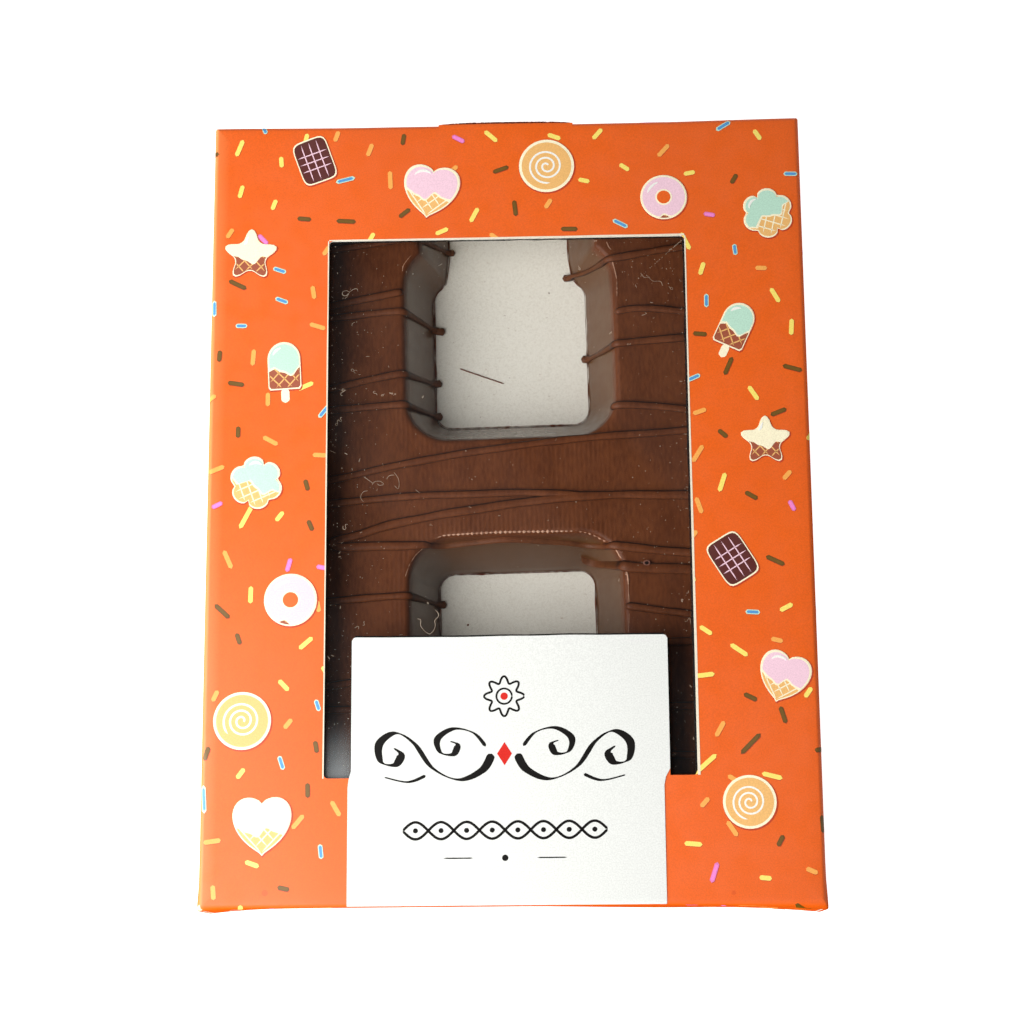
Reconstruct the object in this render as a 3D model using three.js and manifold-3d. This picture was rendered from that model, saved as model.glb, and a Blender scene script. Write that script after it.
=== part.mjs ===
// A chocolate letter H in its shut window carton, lying on its back.
// Millimetres, +X to the pack's right, +Y to the letter's top, +Z out of the printed front.
// The origin is the middle of the carton's underside.

import * as THREE from "three";
import { mergeVertices } from "three/addons/utils/BufferGeometryUtils.js";
import Module from "manifold-3d";

const wasm = await Module();
wasm.setup();

// Carton
const PACK_WIDTH = 100;
const PACK_LENGTH = 132;
const PACK_DEPTH = 18;
const BOARD = 0.45;
const FOLD_RADIUS = 0.8;
const CORNER_RADIUS = 0.35;
const FOLD_STEPS = 3;
const EAR_OUT = 0.25;
const EAR_DROP = 0.5;
const EAR_REACH = 20;
const SEAM = 0.3;
const END_PANEL_WIDTH = 98;
const TONGUE_WIDTH = 23;
const TONGUE_RISE = 0.5;
const TONGUE_SLOT_DROP = 1.1;
const TONGUE_ROOT = 3;

// Window in the front, with the label tab standing up into it from below
const WINDOW_WIDTH = 60.2;
const WINDOW_LENGTH = 91;
const WINDOW_RADIUS = 0.7;
const TAB_WIDTH = 51.4;
const TAB_TOP = -22.65;
const TAB_RADIUS = 0.7;

// Clear film behind the window
const FILM = 0.2;
const FILM_MARGIN = 3;
const CLEARANCE = 0.3;

// Letter, measured at its underside; the mould's draft makes the face smaller all round
const LETTER_HALF_WIDTH = 47;
const LETTER_HALF_LENGTH = 63.2;
const LETTER_HEIGHT = 10.6;
const LETTER_DRAFT = 4.9;
const LETTER_TURN = 1.1;
const LETTER_SHIFT = 0.75;
const STEM_INNER = 13.4;
const SERIF_REACH = 2.8;
const SERIF_START = 40;
const BRACKET_RADIUS = 3;
const CROSSBAR_TOP = 16.9;
const CROSSBAR_BOTTOM = -8.9;
const NOTCH_RADIUS = 2.8;
const EDGE_ROUND = 1;
const SERIF_CORNER = 0.8;
const ARC_STEPS = 6;
const CORNER_STEPS = 3;

// Drizzle
const STRAND_WIDTH = 1.05;
const STRAND_RISE = 0.45;
const STRAND_SINK = 0.5;
const STRAND_SIDES = 4;
const STUB = 1.2;
const FOOT_LIFT = 0.06;
const FLAT_STEP = 8;
const WALL_STEP = 1.5;

const BACK_INSIDE = BOARD;
const LETTER_BASE = BACK_INSIDE + CLEARANCE;
const FRONT_INSIDE = PACK_DEPTH - BOARD;

function finish(color, roughness, options = {}) {
  return new THREE.MeshStandardMaterial({ color, roughness, metalness: 0, ...options });
}

const cartonBoard = finish(0xf0713a, 0.55);
const clearFilm = finish(0xf4f6f6, 0.08, { transparent: true, opacity: 0.18 });
const milkChocolate = finish(0x5f3622, 0.45);

function toSolid(geometry) {
  const bare = geometry.clone();
  bare.deleteAttribute("normal");
  bare.deleteAttribute("uv");
  const merged = mergeVertices(bare, 1e-4);
  const mesh = new wasm.Mesh({
    numProp: 3,
    vertProperties: new Float32Array(merged.attributes.position.array),
    triVerts: new Uint32Array(merged.index.array),
  });
  return new wasm.Manifold(mesh);
}

function toGeometry(solid) {
  const mesh = solid.getMesh();
  const geometry = new THREE.BufferGeometry();
  geometry.setAttribute("position", new THREE.BufferAttribute(mesh.vertProperties, 3));
  geometry.setIndex(new THREE.BufferAttribute(mesh.triVerts, 1));
  return geometry;
}

function block(width, length, height, x, y, z) {
  const geometry = new THREE.BoxGeometry(width, length, height);
  geometry.translate(x, y, z + height / 2);
  return toSolid(geometry);
}

function plate(shape, height, z, steps = ARC_STEPS) {
  const geometry = new THREE.ExtrudeGeometry(shape, {
    depth: height,
    bevelEnabled: false,
    curveSegments: steps,
  });
  geometry.translate(0, 0, z);
  return toSolid(geometry);
}

// Plan of the carton inside its fold radius: the lower corners flare into small ears.
function cartonPlan() {
  const halfWidth = PACK_WIDTH / 2 - FOLD_RADIUS;
  const halfLength = PACK_LENGTH / 2 - FOLD_RADIUS;
  const r = CORNER_RADIUS;
  const plan = new THREE.Shape();
  plan.moveTo(-halfWidth + EAR_REACH, -halfLength);
  plan.lineTo(halfWidth - EAR_REACH, -halfLength);
  plan.quadraticCurveTo(halfWidth - r, -halfLength, halfWidth + EAR_OUT, -halfLength - EAR_DROP);
  plan.quadraticCurveTo(halfWidth, -halfLength + r, halfWidth, -halfLength + EAR_REACH / 4);
  plan.lineTo(halfWidth, halfLength - r);
  plan.quadraticCurveTo(halfWidth, halfLength, halfWidth - r, halfLength);
  plan.lineTo(-halfWidth + r, halfLength);
  plan.quadraticCurveTo(-halfWidth, halfLength, -halfWidth, halfLength - r);
  plan.lineTo(-halfWidth, -halfLength + EAR_REACH / 4);
  plan.quadraticCurveTo(-halfWidth, -halfLength + r, -halfWidth - EAR_OUT, -halfLength - EAR_DROP);
  plan.quadraticCurveTo(-halfWidth + r, -halfLength, -halfWidth + EAR_REACH, -halfLength);
  return plan;
}

function cartonOutside() {
  const geometry = new THREE.ExtrudeGeometry(cartonPlan(), {
    depth: PACK_DEPTH - 2 * FOLD_RADIUS,
    bevelEnabled: true,
    bevelThickness: FOLD_RADIUS,
    bevelSize: FOLD_RADIUS,
    bevelSegments: FOLD_STEPS,
    curveSegments: CORNER_STEPS,
  });
  geometry.translate(0, 0, FOLD_RADIUS);
  return toSolid(geometry);
}

// The opening runs down both sides of the label tab.
function windowPlan() {
  const x = WINDOW_WIDTH / 2;
  const y = WINDOW_LENGTH / 2;
  const tab = TAB_WIDTH / 2;
  const r = WINDOW_RADIUS;
  const t = TAB_RADIUS;
  const plan = new THREE.Shape();
  plan.moveTo(-x, -y + r);
  plan.quadraticCurveTo(-x, -y, -x + r, -y);
  plan.lineTo(-tab, -y);
  plan.lineTo(-tab, TAB_TOP - t);
  plan.quadraticCurveTo(-tab, TAB_TOP, -tab + t, TAB_TOP);
  plan.lineTo(tab - t, TAB_TOP);
  plan.quadraticCurveTo(tab, TAB_TOP, tab, TAB_TOP - t);
  plan.lineTo(tab, -y);
  plan.lineTo(x - r, -y);
  plan.quadraticCurveTo(x, -y, x, -y + r);
  plan.lineTo(x, y - r);
  plan.quadraticCurveTo(x, y, x - r, y);
  plan.lineTo(-x + r, y);
  plan.quadraticCurveTo(-x, y, -x, y - r);
  return plan;
}

// A low half moon: its chord lies on y = 0 and its arc rises by the given height.
function halfMoon(width, rise, root) {
  const pull = width * 0.42;
  const lift = (rise * 4) / 3;
  const moon = new THREE.Shape();
  moon.moveTo(-width / 2, -root);
  moon.lineTo(width / 2, -root);
  moon.lineTo(width / 2, 0);
  moon.bezierCurveTo(pull, lift, -pull, lift, -width / 2, 0);
  return moon;
}

// The tongue is cut out of the top end panel and stays in the plane of the front.
function tongue() {
  const solid = plate(halfMoon(TONGUE_WIDTH, TONGUE_RISE, TONGUE_ROOT), BOARD, FRONT_INSIDE);
  return solid.translate([0, PACK_LENGTH / 2, 0]);
}

function tongueSlot() {
  const slot = plate(halfMoon(TONGUE_WIDTH, TONGUE_SLOT_DROP, 0), BOARD, 0);
  const upright = slot.rotate([-90, 0, 0]);
  return upright.translate([0, PACK_LENGTH / 2 - BOARD, FRONT_INSIDE]);
}

// Each end panel meets the side walls and the back in three open seams.
function endSeams(side) {
  const deep = BOARD + 2 * EAR_DROP;
  const y = side * (PACK_LENGTH / 2 - BOARD + deep / 2);
  const high = PACK_DEPTH - 2 * FOLD_RADIUS - BOARD;
  const left = block(SEAM, deep, high, -END_PANEL_WIDTH / 2, y, BOARD);
  const right = block(SEAM, deep, high, END_PANEL_WIDTH / 2, y, BOARD);
  const back = block(END_PANEL_WIDTH + SEAM, deep, SEAM, 0, y, BOARD);
  return left.add(right).add(back);
}

function makeCarton() {
  const backPlate = block(PACK_WIDTH - 2 * FOLD_RADIUS, PACK_LENGTH, BOARD, 0, 0, 0);
  const endWall = 2 * BOARD;
  const hollow = block(
    PACK_WIDTH - 2 * BOARD,
    PACK_LENGTH - 2 * endWall,
    FRONT_INSIDE - BACK_INSIDE,
    0, 0, BACK_INSIDE,
  );
  const opening = plate(windowPlan(), 3 * BOARD, PACK_DEPTH - 2 * BOARD, CORNER_STEPS);
  return cartonOutside()
    .add(backPlate)
    .subtract(tongueSlot())
    .add(tongue())
    .subtract(hollow)
    .subtract(opening)
    .subtract(endSeams(1))
    .subtract(endSeams(-1));
}

function makeFilm() {
  const x = WINDOW_WIDTH / 2 + FILM_MARGIN;
  const y = WINDOW_LENGTH / 2 + FILM_MARGIN;
  const sheet = new THREE.Shape();
  sheet.moveTo(-x, -y);
  sheet.lineTo(x, -y);
  sheet.lineTo(x, y);
  sheet.lineTo(-x, y);
  return plate(sheet, FILM, FRONT_INSIDE - CLEARANCE - FILM);
}

function arc(centreX, centreY, radius, from, to) {
  const points = [];
  for (let i = 0; i <= ARC_STEPS; i += 1) {
    const angle = from + ((to - from) * i) / ARC_STEPS;
    points.push([centreX + radius * Math.cos(angle), centreY + radius * Math.sin(angle)]);
  }
  return points;
}

// A corner softened by a quadratic curve that leaves it by the given length on both sides.
function softCorner(x, y, fromX, fromY, toX, toY, length) {
  const points = [];
  for (let i = 0; i <= CORNER_STEPS; i += 1) {
    const t = i / CORNER_STEPS;
    const before = (1 - t) * (1 - t) * length;
    const after = t * t * length;
    points.push([x + fromX * before + toX * after, y + fromY * before + toY * after]);
  }
  return points;
}

// Right-hand upper quarter of the H at a given inset, from the middle of the notch to the
// outer side of the stem. Hollow corners grow with the inset, and the serifs shorten.
function quarter(inset, notchFloor) {
  const floor = notchFloor - inset;
  const inner = STEM_INNER + inset;
  const outer = LETTER_HALF_WIDTH - SERIF_REACH - inset;
  const serifInner = STEM_INNER - SERIF_REACH + inset;
  const serifOuter = LETTER_HALF_WIDTH - inset;
  const top = LETTER_HALF_LENGTH - inset;
  const bracket = BRACKET_RADIUS + inset;
  const trim = Math.acos((BRACKET_RADIUS - SERIF_REACH + inset) / bracket);
  const notchX = STEM_INNER - NOTCH_RADIUS;
  const notchY = notchFloor + NOTCH_RADIUS;
  const innerX = inner - bracket;
  const outerX = outer + bracket;
  return [
    [0, floor],
    ...arc(notchX, notchY, NOTCH_RADIUS + inset, -Math.PI / 2, 0),
    ...arc(innerX, SERIF_START, bracket, 0, trim),
    ...softCorner(serifInner, top, 0, -1, 1, 0, SERIF_CORNER),
    ...softCorner(serifOuter, top, -1, 0, 0, -1, SERIF_CORNER),
    ...arc(outerX, SERIF_START, bracket, Math.PI - trim, Math.PI),
  ];
}

// Whole outline, anticlockwise. The lower notch is deeper than the upper one.
function letterOutline(inset) {
  const upper = quarter(inset, CROSSBAR_TOP);
  const lower = quarter(inset, -CROSSBAR_BOTTOM);
  const upperLeft = upper.slice(1).map(([x, y]) => [-x, y]);
  const lowerLeft = lower.map(([x, y]) => [-x, -y]).reverse();
  const lowerRight = lower.slice(1).map(([x, y]) => [x, -y]);
  return [...upperLeft, ...lowerLeft, ...lowerRight, ...upper.reverse()];
}

// Inset and height of the wall from the underside to the rounded edge of the face.
function wallProfile() {
  const wallTop = 1 - EDGE_ROUND / LETTER_HEIGHT;
  const rows = [[0, 0], [LETTER_DRAFT * wallTop, LETTER_HEIGHT * wallTop]];
  for (let i = 1; i <= CORNER_STEPS; i += 1) {
    const turn = (Math.PI / 2) * (i / CORNER_STEPS);
    rows.push([
      LETTER_DRAFT * wallTop + EDGE_ROUND * (1 - Math.cos(turn)),
      LETTER_HEIGHT * wallTop + EDGE_ROUND * Math.sin(turn),
    ]);
  }
  return rows;
}

function letterBody() {
  const rings = wallProfile().map(([inset, height]) => ({ points: letterOutline(inset), height }));
  const count = rings[0].points.length;
  const positions = [];
  for (const { points, height } of rings) {
    for (const [x, y] of points) {
      positions.push(x, y, height);
    }
  }
  const faces = [];
  for (let ring = 0; ring + 1 < rings.length; ring += 1) {
    for (let i = 0; i < count; i += 1) {
      const a = ring * count + i;
      const b = ring * count + ((i + 1) % count);
      faces.push(a, b, b + count, a, b + count, a + count);
    }
  }
  const last = rings.length - 1;
  for (const [ring, flip] of [[0, true], [last, false]]) {
    const contour = rings[ring].points.map(([x, y]) => new THREE.Vector2(x, y));
    for (const [a, b, c] of THREE.ShapeUtils.triangulateShape(contour, [])) {
      const start = ring * count;
      faces.push(start + a, start + (flip ? c : b), start + (flip ? b : c));
    }
  }
  const geometry = new THREE.BufferGeometry();
  geometry.setAttribute("position", new THREE.Float32BufferAttribute(positions, 3));
  geometry.setIndex(faces);
  return toSolid(geometry);
}

const baseOutline = letterOutline(0);

// Distance from a point to the underside's outline, positive inside the letter.
function insetAt(x, y) {
  let nearest = Infinity;
  let inside = false;
  for (let i = 0; i < baseOutline.length; i += 1) {
    const [ax, ay] = baseOutline[i];
    const [bx, by] = baseOutline[(i + 1) % baseOutline.length];
    const length2 = (bx - ax) ** 2 + (by - ay) ** 2;
    const along = length2 > 0 ? ((x - ax) * (bx - ax) + (y - ay) * (by - ay)) / length2 : 0;
    const t = Math.min(1, Math.max(0, along));
    nearest = Math.min(nearest, Math.hypot(x - ax - t * (bx - ax), y - ay - t * (by - ay)));
    if (ay > y !== by > y && x < ((bx - ax) * (y - ay)) / (by - ay) + ax) {
      inside = !inside;
    }
  }
  return inside ? nearest : -nearest;
}

function heightAt(x, y) {
  const inset = insetAt(x, y);
  const slope = LETTER_HEIGHT / LETTER_DRAFT;
  return Math.min(LETTER_HEIGHT, Math.max(STRAND_SINK, inset * slope));
}

// A strand's path follows its plan over the face, down the walls and onto the floor.
function strandPath(plan) {
  const curve = new THREE.SplineCurve(plan.map(([x, y]) => new THREE.Vector2(x, y)));
  const length = curve.getLength();
  const points = [];
  let along = 0;
  while (along < length) {
    const { x, y } = curve.getPointAt(along / length);
    const toEdge = Math.abs(insetAt(x, y) - LETTER_DRAFT) - EDGE_ROUND;
    points.push(new THREE.Vector3(x, y, heightAt(x, y)));
    along += Math.min(FLAT_STEP, Math.max(WALL_STEP, toEdge));
  }
  const end = curve.getPointAt(1);
  points.push(new THREE.Vector3(end.x, end.y, heightAt(end.x, end.y)));
  return points;
}

// A strand is a low half-round bead whose root is sunk in the chocolate.
function strandSolid(points, width) {
  const positions = [];
  const section = [];
  for (let i = 0; i <= STRAND_SIDES; i += 1) {
    const angle = (Math.PI * i) / STRAND_SIDES;
    section.push([(Math.cos(angle) * width) / 2, Math.sin(angle) * STRAND_RISE]);
  }
  section.push([-width / 2, -STRAND_SINK], [width / 2, -STRAND_SINK]);
  const count = section.length;
  const last = points.length - 1;
  const up = new THREE.Vector3(0, 0, 1);
  points.forEach((point, i) => {
    const before = points[Math.max(0, i - 1)];
    const after = points[Math.min(last, i + 1)];
    const forward = after.clone().sub(before).normalize();
    const side = forward.clone().cross(up).normalize();
    const out = side.clone().cross(forward).normalize();
    const end = i === 0 || i === last ? 0.6 : 1;
    for (const [across, rise] of section) {
      const p = point.clone().addScaledVector(side, across * end).addScaledVector(out, rise * end);
      positions.push(p.x, p.y, Math.max(FOOT_LIFT, p.z));
    }
  });
  const faces = [];
  for (let i = 0; i < last; i += 1) {
    for (let j = 0; j < count; j += 1) {
      const a = i * count + j;
      const b = i * count + ((j + 1) % count);
      faces.push(a, b + count, b, a, a + count, b + count);
    }
  }
  for (let j = 1; j + 1 < count; j += 1) {
    faces.push(0, j, j + 1);
    faces.push(last * count, last * count + j + 1, last * count + j);
  }
  const geometry = new THREE.BufferGeometry();
  geometry.setAttribute("position", new THREE.Float32BufferAttribute(positions, 3));
  geometry.setIndex(faces);
  return toSolid(geometry);
}

// Plan of each strand on the letter's own axes. The zigzag runs from side to side, breaks off
// at the notches' edges, and turns back past the outer sides, where it is trimmed off too.
const SIDE = LETTER_HALF_WIDTH - SERIF_REACH + STUB;
const SERIF_SIDE = LETTER_HALF_WIDTH + STUB / 2;
const NOTCH = STEM_INNER - STUB;
const SERIF_NOTCH = STEM_INNER - SERIF_REACH - STUB;
const FAT_STRAND = 1.35;
const FATTEST_STRAND = 1.7;
const STRANDS = [
  { plan: [[-SERIF_SIDE, 52.5], [-SERIF_NOTCH, 56]] },
  { plan: [[SERIF_NOTCH, 55.4], [SERIF_SIDE, 52.6]] },
  { plan: [[-SERIF_SIDE, 44.9], [-24.5, 47.5], [-SERIF_NOTCH, 49.2]] },
  { plan: [[SERIF_NOTCH, 43.7], [17.5, 43.5], [30, 45.1], [SERIF_SIDE, 46.6]] },
  { plan: [[-SIDE, 33.9], [-30.3, 36.6], [-NOTCH, 39.6]] },
  { plan: [[-SIDE, 33.4], [-30.3, 34.5], [-NOTCH + 0.5, 35.1]] },
  { plan: [[17, 34.2], [24.7, 34.2], [SIDE, 31.4]] },
  { plan: [[NOTCH, 28.8], [18.4, 28.3], [29.7, 28.9], [SIDE, 29.9]] },
  { plan: [[-SIDE, 19.1], [-24.5, 23.1], [-NOTCH, 25.3]] },
  { plan: [[-SIDE, 17.5], [-24, 18.5], [-NOTCH, 19.2]] },
  { plan: [[17, 17.4], [24, 17], [SIDE, 13.9]] },
  { plan: [[-SIDE, 2.9], [-17.8, 8.4], [6.6, 11.4], [23.8, 12.3], [SIDE, 13.3]] },
  { plan: [[-SIDE, 0.4], [-24, 2.4], [-4, 2.8], [8, 2.3]] },
  { plan: [[-30, -4.5], [-16, -1.2], [8, 1.6], [28.9, 1.4], [SIDE, 0.4]], width: FAT_STRAND },
  { plan: [[-30, -4.9], [-16, -5.7], [-2, -4.8], [12, -6], [28.8, -8.3], [SIDE, -10.4]] },
  { plan: [[9.5, -6.4], [14.5, -8.5], [22.9, -10.7], [SIDE, -12.4]], width: FATTEST_STRAND },
  { plan: [[-SIDE, -15.6], [-24, -14.4], [-NOTCH, -14.1]] },
  { plan: [[18, -17.1], [28.7, -18.8], [SIDE, -21.2]] },
  { plan: [[-SIDE, -31.2], [-NOTCH, -26.2]] },
  { plan: [[NOTCH, -23.1], [28, -23.4], [SIDE, -22.6]] },
  { plan: [[-SIDE, -32.7], [-NOTCH, -33.4]] },
  { plan: [[NOTCH, -33.6], [SIDE, -34.6]] },
  { plan: [[-SERIF_SIDE, -46.6], [-NOTCH, -42.6]] },
  { plan: [[NOTCH, -42], [28, -42.2], [SERIF_SIDE, -44.8]] },
  { plan: [[-SERIF_SIDE, -50.2], [-SERIF_NOTCH, -53.2]] },
  { plan: [[SERIF_NOTCH, -53.8], [SERIF_SIDE, -56]] },
];

// The outer skin alone: pockets that crossing strands close off are filled.
function outerSkin(solid) {
  const skins = solid.decompose();
  return skins.reduce((best, skin) => (skin.volume() > best.volume() ? skin : best));
}

function makeLetter() {
  let solid = letterBody();
  for (const { plan, width = STRAND_WIDTH } of STRANDS) {
    solid = solid.add(strandSolid(strandPath(plan), width));
  }
  return outerSkin(solid);
}

function namedMesh(name, solid, material) {
  const mesh = new THREE.Mesh(toGeometry(solid), material);
  mesh.name = name;
  return mesh;
}

const pack = new THREE.Group();
pack.add(namedMesh("carton", makeCarton(), cartonBoard));
pack.add(namedMesh("window_film", makeFilm(), clearFilm));

const letter = namedMesh("letter", makeLetter(), milkChocolate);
letter.position.set(LETTER_SHIFT, 0, LETTER_BASE);
letter.rotation.z = THREE.MathUtils.degToRad(LETTER_TURN);
pack.add(letter);

export default pack;
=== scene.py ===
"""A milk chocolate letter H in its shut window carton, lying face up on a pale floor.

Lengths are millimetres until a mesh is made. X runs across the pack, Y along it and Z out of the
printed front, with the origin under the middle of the carton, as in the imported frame.
"""

import logging
import math
from collections.abc import Callable, Sequence
from dataclasses import dataclass, field
from enum import Enum

import bmesh
import bpy
import numpy as np
from mathutils import Matrix


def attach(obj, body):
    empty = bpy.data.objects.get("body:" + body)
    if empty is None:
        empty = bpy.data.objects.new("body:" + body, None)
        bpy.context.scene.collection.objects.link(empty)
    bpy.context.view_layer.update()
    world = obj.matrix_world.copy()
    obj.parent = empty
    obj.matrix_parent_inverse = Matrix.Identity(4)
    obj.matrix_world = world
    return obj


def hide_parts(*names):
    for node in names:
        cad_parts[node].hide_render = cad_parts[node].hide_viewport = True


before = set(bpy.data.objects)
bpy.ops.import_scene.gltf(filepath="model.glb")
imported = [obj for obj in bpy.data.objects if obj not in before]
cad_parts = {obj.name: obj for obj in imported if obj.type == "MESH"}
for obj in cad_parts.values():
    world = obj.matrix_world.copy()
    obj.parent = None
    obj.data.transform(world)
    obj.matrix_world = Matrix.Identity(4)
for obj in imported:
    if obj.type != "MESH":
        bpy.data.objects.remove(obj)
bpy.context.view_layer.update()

MM = 0.001
HALF_TURN = math.pi
QUARTER = math.pi / 2
BODY = "root"
LOG = logging.getLogger("chocolate_letter")
CRISP_FROM = math.radians(40)
QUARTERS = [(-1, -1), (-1, 1), (1, -1), (1, 1)]

Colour = tuple[float, float, float]
Place = tuple[float, float, float]
Spot = tuple[float, float]
Plan = Sequence[Sequence[float]]
Grid = np.ndarray
Socket = bpy.types.NodeSocket
Piece = bpy.types.Object
Finish = bpy.types.Material


def shade(red: int, green: int, blue: int) -> Colour:
    """Turns a display colour of 0 to 255 into the linear colour that shaders take."""
    parts = np.array([red, green, blue]) / 255
    return tuple(np.where(parts <= 0.04045, parts / 12.92, ((parts + 0.055) / 1.055) ** 2.4).tolist())


def smooth_step(value: Grid, low: float, high: float) -> Grid:
    """Goes from 0 at the first limit to 1 at the second, which may be lower, along a cubic S."""
    share = np.clip((value - low) / (high - low), 0, 1)
    return share * share * (3 - 2 * share)


def waves(x: Grid, y: Grid, wavelength: float, seed: int) -> Grid:
    """Smooth unevenness of about -1 to 1: a mean of seeded sine waves that run in all directions.

    Args:
        x: First coordinate of the points.
        y: Second coordinate.
        wavelength: Middle length of a wave.
        seed: Seed of the directions and phases.

    Returns:
        The height at each point.
    """
    draw, count = np.random.default_rng(seed), 7
    heading, phase = draw.uniform(0, 2 * HALF_TURN, (2, count))
    pace = 2 * HALF_TURN / (wavelength * draw.uniform(0.7, 1.5, count))
    along = np.asarray(x)[..., None] * np.cos(heading) + np.asarray(y)[..., None] * np.sin(heading)
    return np.sin(along * pace + phase).sum(-1) / math.sqrt(count)


def ripple(along: Grid, wavelength: float, seed: int) -> Grid:
    """The same unevenness along a line."""
    return waves(along, 0 * along, wavelength, seed)


def spaced(stops: Sequence[float], step: float) -> Grid:
    """Positions that pass through every stop and lie no further apart than the step.

    Args:
        stops: Rising positions that must be hit.
        step: Widest gap.

    Returns:
        The rising positions.
    """
    parts = [
        np.linspace(a, b, max(1, math.ceil((b - a) / step)), endpoint=False)
        for a, b in zip(stops, stops[1:])
    ]
    return np.append(np.concatenate(parts), stops[-1])


def grid_faces(rows: int, columns: int, ring: bool = False, endless: bool = False) -> Grid:
    """Quads of a grid whose points are stored row by row.

    Args:
        rows: Number of rows.
        columns: Points in a row.
        ring: Whether each row closes on itself.
        endless: Whether the last row joins the first.

    Returns:
        One row of four point numbers for each quad.
    """
    r = np.arange(rows if endless else rows - 1)[:, None]
    c = np.arange(columns if ring else columns - 1)[None, :]
    below, right = (r + 1) % rows * columns, (c + 1) % columns
    return joined(r * columns + c, r * columns + right, below + right, below + c).reshape(-1, 4)


def outward(points: Grid, faces: Grid) -> Grid:
    """Turns the faces of a closed or nearly closed surface so that they point out of it.

    The sign of the volume, summed as cones from the middle to each face, tells the side.

    Args:
        points: Points of the surface.
        faces: Quads that all wind alike.

    Returns:
        The quads, wound outwards.
    """
    a, b, c, d = (points[faces[:, i]] - points.mean(0) for i in range(4))
    volume = np.einsum("ij,ij->", a, np.cross(b, c)) + np.einsum("ij,ij->", a, np.cross(c, d))
    return faces if volume > 0 else faces[:, ::-1]


def joined(*parts: Grid | float) -> Grid:
    """Joins coordinates, given axis by axis, into points."""
    return np.stack(np.broadcast_arrays(*parts), -1)


def unit(vectors: Grid) -> Grid:
    """Vectors scaled to a length of 1; a vector of no length stays so."""
    return vectors / (np.linalg.norm(vectors, axis=1, keepdims=True) + 1e-12)


def run_of(path: Grid) -> Grid:
    """Length run along a path up to each of its points."""
    return np.append(0, np.cumsum(np.linalg.norm(np.diff(path, axis=0), axis=1)))


def points_at(path: Grid, at: Grid) -> Grid:
    """Points of a path at the given lengths along it, joined straight."""
    return np.stack([np.interp(at, run_of(path), column) for column in path.T], -1)


def evenly(path: Grid, step: float, fewest: int = 2) -> Grid:
    """Divides a path into even steps of nearly this length, with no fewer points than asked for."""
    length = run_of(path)[-1]
    return points_at(path, np.linspace(0, length, max(fewest, round(length / step) + 1)))


def between(start: Sequence[float], stop: Sequence[float], share: Grid) -> Grid:
    """Points of a straight line, one for each share of the way from its start to its stop."""
    return np.array(start) * (1 - share[:, None]) + np.array(stop) * share[:, None]


def curve_through(plan: Plan, step: float) -> Grid:
    """A smooth curve through given points: a uniform Catmull-Rom cubic, evenly spaced.

    Args:
        plan: Points to pass through.
        step: Length between the curve's points.

    Returns:
        Points of the curve.
    """
    plan = np.asarray(plan, float)
    last, fineness = len(plan) - 1, 40
    place = np.linspace(0, last, fineness * last + 1)
    i = np.minimum(place.astype(int), last - 1)
    t = (place - i)[:, None]
    before, start = plan[np.maximum(i - 1, 0)], plan[i]
    stop, after = plan[i + 1], plan[np.minimum(i + 2, last)]
    a, b = (stop - before) / 2, (after - start) / 2
    cubic, square = 2 * start - 2 * stop + a + b, 3 * stop - 3 * start - 2 * a - b
    return evenly(cubic * t**3 + square * t**2 + a * t + start, step, 4)


def tube(path: Grid, section: Grid, size: Grid) -> tuple[Grid, Grid]:
    """Carries a section along a path: its first axis lies level across the path, its second leans up.

    Args:
        path: Points of the path, as (n, 3).
        section: Closed section, as (m, 2), anticlockwise seen against the path.
        size: Scale of the section at each point of the path, or one for its width and one for its
            height; 0 closes an end to a pole.

    Returns:
        Points and outward quads.
    """
    ahead = unit(np.gradient(path, axis=0))
    across = unit(np.cross(ahead, [0, 0, 1]))
    up = np.cross(across, ahead)
    flat = section[None] * size.reshape(len(path), 1, -1)
    points = path[:, None] + flat[..., :1] * across[:, None] + flat[..., 1:] * up[:, None]
    points = points.reshape(-1, 3)
    return points, outward(points, grid_faces(len(path), len(section), ring=True))


def round_ends(count: int, length: float, start: float, stop: float | None = None) -> Grid:
    """Scale along a strand that falls to 0 at both ends as a quarter circle does.

    Args:
        count: Number of points.
        length: Length of the strand.
        start: Length of the rounded end where it starts.
        stop: Length of the other one, if it differs.

    Returns:
        The scale at each point.
    """
    run = np.linspace(0, length, count)
    near = np.clip(np.minimum(run / start, (length - run) / (stop or start)), 0, 1)
    return np.sqrt(1 - (1 - near) ** 2)


def full_turn(count: int) -> Grid:
    """Angles spaced evenly once round."""
    return np.linspace(0, 2 * HALF_TURN, count, endpoint=False)


def aim(angle: Grid) -> Grid:
    """Unit vectors at these angles, anticlockwise from X, as (..., 2)."""
    return joined(np.cos(angle), np.sin(angle))


def circle(count: int, radius: float = 1.0) -> Grid:
    """Points of a circle about the origin, anticlockwise, as (count, 2)."""
    return radius * aim(full_turn(count))


def globe(rows: int, columns: int) -> Grid:
    """A unit ball: rows from pole to pole, each a closed circle.

    Args:
        rows: Number of rows, poles included.
        columns: Points in a row.

    Returns:
        Its points, as (rows, columns, 3).
    """
    fall = np.linspace(0, HALF_TURN, rows)[:, None]
    x, y = circle(columns).T
    return joined(np.sin(fall) * x, np.sin(fall) * y, np.cos(fall))


def places(piece: Piece, kind: str = "co") -> Grid:
    """Coordinates of a piece's points in metres, or their normals.

    Args:
        piece: The piece.
        kind: "co" or "normal".

    Returns:
        One row of three for each point.
    """
    flat = np.empty(len(piece.data.vertices) * 3)
    piece.data.vertices.foreach_get(kind, flat)
    return flat.reshape(-1, 3)


def mark(piece: Piece, name: str, values: Grid) -> None:
    """Stores one number a point, which the piece's material reads by its name."""
    layer = piece.data.attributes.new(name, "FLOAT", "POINT")
    layer.data.foreach_set("value", np.ravel(values).astype(np.float32))


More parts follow.
